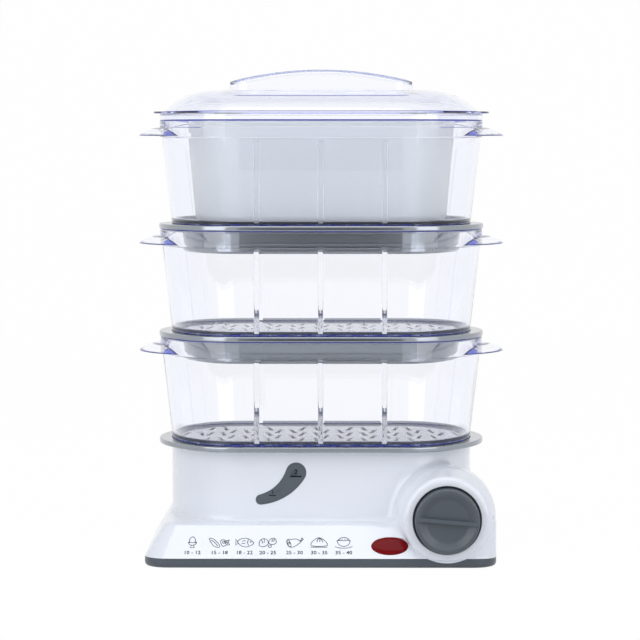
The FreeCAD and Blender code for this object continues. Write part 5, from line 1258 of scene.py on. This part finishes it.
RICE = [
    [(-5.4, 1.8), (5.4, 1.8)], bend((-5.4, 1.8), (-4.2, -1.4), (-1.6, -3.2), (1.6, -3.2),
                                    (4.2, -1.4), (5.4, 1.8)),
    bend((-4.8, 1.9), (-2.6, 4.0), (0.4, 4.8), (3.2, 3.8), (4.8, 1.9)),
    [(-1.6, 2.8), (-0.8, 3.2)], [(0.6, 3.4), (1.3, 2.9)], [(2.6, 2.7), (3.2, 3.0)],
    [(-3.2, 2.4), (-2.7, 2.8)], bend((-7.2, -3.6), (-3.0, -4.9), (3.0, -4.9), (7.2, -3.6)),
]
MARKS = ((-103.4, EGG, "10 - 12"), (-81.5, GREENS, "15 - 18"), (-61.3, FISH, "18 - 22"),
         (-42.4, DUMPLINGS, "20 - 25"),
         (-20.9, DRUMSTICK, "25 - 30"), (-1.0, BUN, "30 - 35"), (18.8, RICE, "35 - 40"))
PICTURE_UP, PICTURE_STRETCH, TIME_UP, TIME_HEIGHT = 15.4, 1.05, 4.3, 3.3
FIGURE_STRETCH, FIGURE_WEIGHT = 1.02, 0.012


def printed_text(text, height, place_at):
    """Corners and faces of a line of plain figures, centred on its place."""
    curve = bpy.data.curves.new("figures", "FONT")
    curve.body, curve.size, curve.align_x = text, 1.0, "CENTER"
    curve.resolution_u, curve.offset = 2, FIGURE_WEIGHT
    holder = bpy.data.objects.new("figures", curve)
    scene.collection.objects.link(holder)
    flat = holder.evaluated_get(bpy.context.evaluated_depsgraph_get())
    mesh = bpy.data.meshes.new_from_object(flat)
    scale = height / max(v.co.y for v in mesh.vertices)
    verts = [Vector((v.co.x * scale * FIGURE_STRETCH, v.co.y * scale)) + Vector(place_at)
             for v in mesh.vertices]
    faces = [tuple(p.vertices) for p in mesh.polygons]
    bpy.data.objects.remove(holder)
    bpy.data.meshes.remove(mesh)
    return verts, faces


def print_on(name, runs, place, body, lift=PROUD):
    """All strokes and figures of one print as a single thin layer of ink."""
    verts, faces = [], []
    for run_verts, run_faces in runs:
        first = len(verts)
        verts += [place @ Vector((v.x, v.y, lift)) * MM for v in run_verts]
        faces += [tuple(first + k for k in face) for face in run_faces]
    mesh = bpy.data.meshes.new(name)
    mesh.from_pydata(verts, [], faces)
    mesh.materials.append(ink)
    print_layer = bpy.data.objects.new(name, mesh)
    scene.collection.objects.link(print_layer)
    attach(print_layer, body)
    print(name, "has", len(runs), "runs")


runs = []
for x, picture, time in MARKS:
    for line in picture:
        runs.append(stroke([(x + p[0], PICTURE_UP + p[1] * PICTURE_STRETCH) for p in line]))
    runs.append(printed_text(time, TIME_HEIGHT, (x, TIME_UP)))
print_on("panel_marks", runs, ON_PANEL, "base")
bars = [stroke([(-24.7, 71.0), (-15.4, 71.0)], 1.2), stroke([(-41.9, 55.4), (-36.4, 55.4)], 0.9)]
bars += [printed_text("2", 4.0, (-20.0, 72.8)), printed_text("1", 3.0, (-39.2, 56.8))]
print_on("level_marks", bars, ON_FRONT @ Matrix.Translation((0, 0, WINDOW_FACE)), "base", lift=0.05)
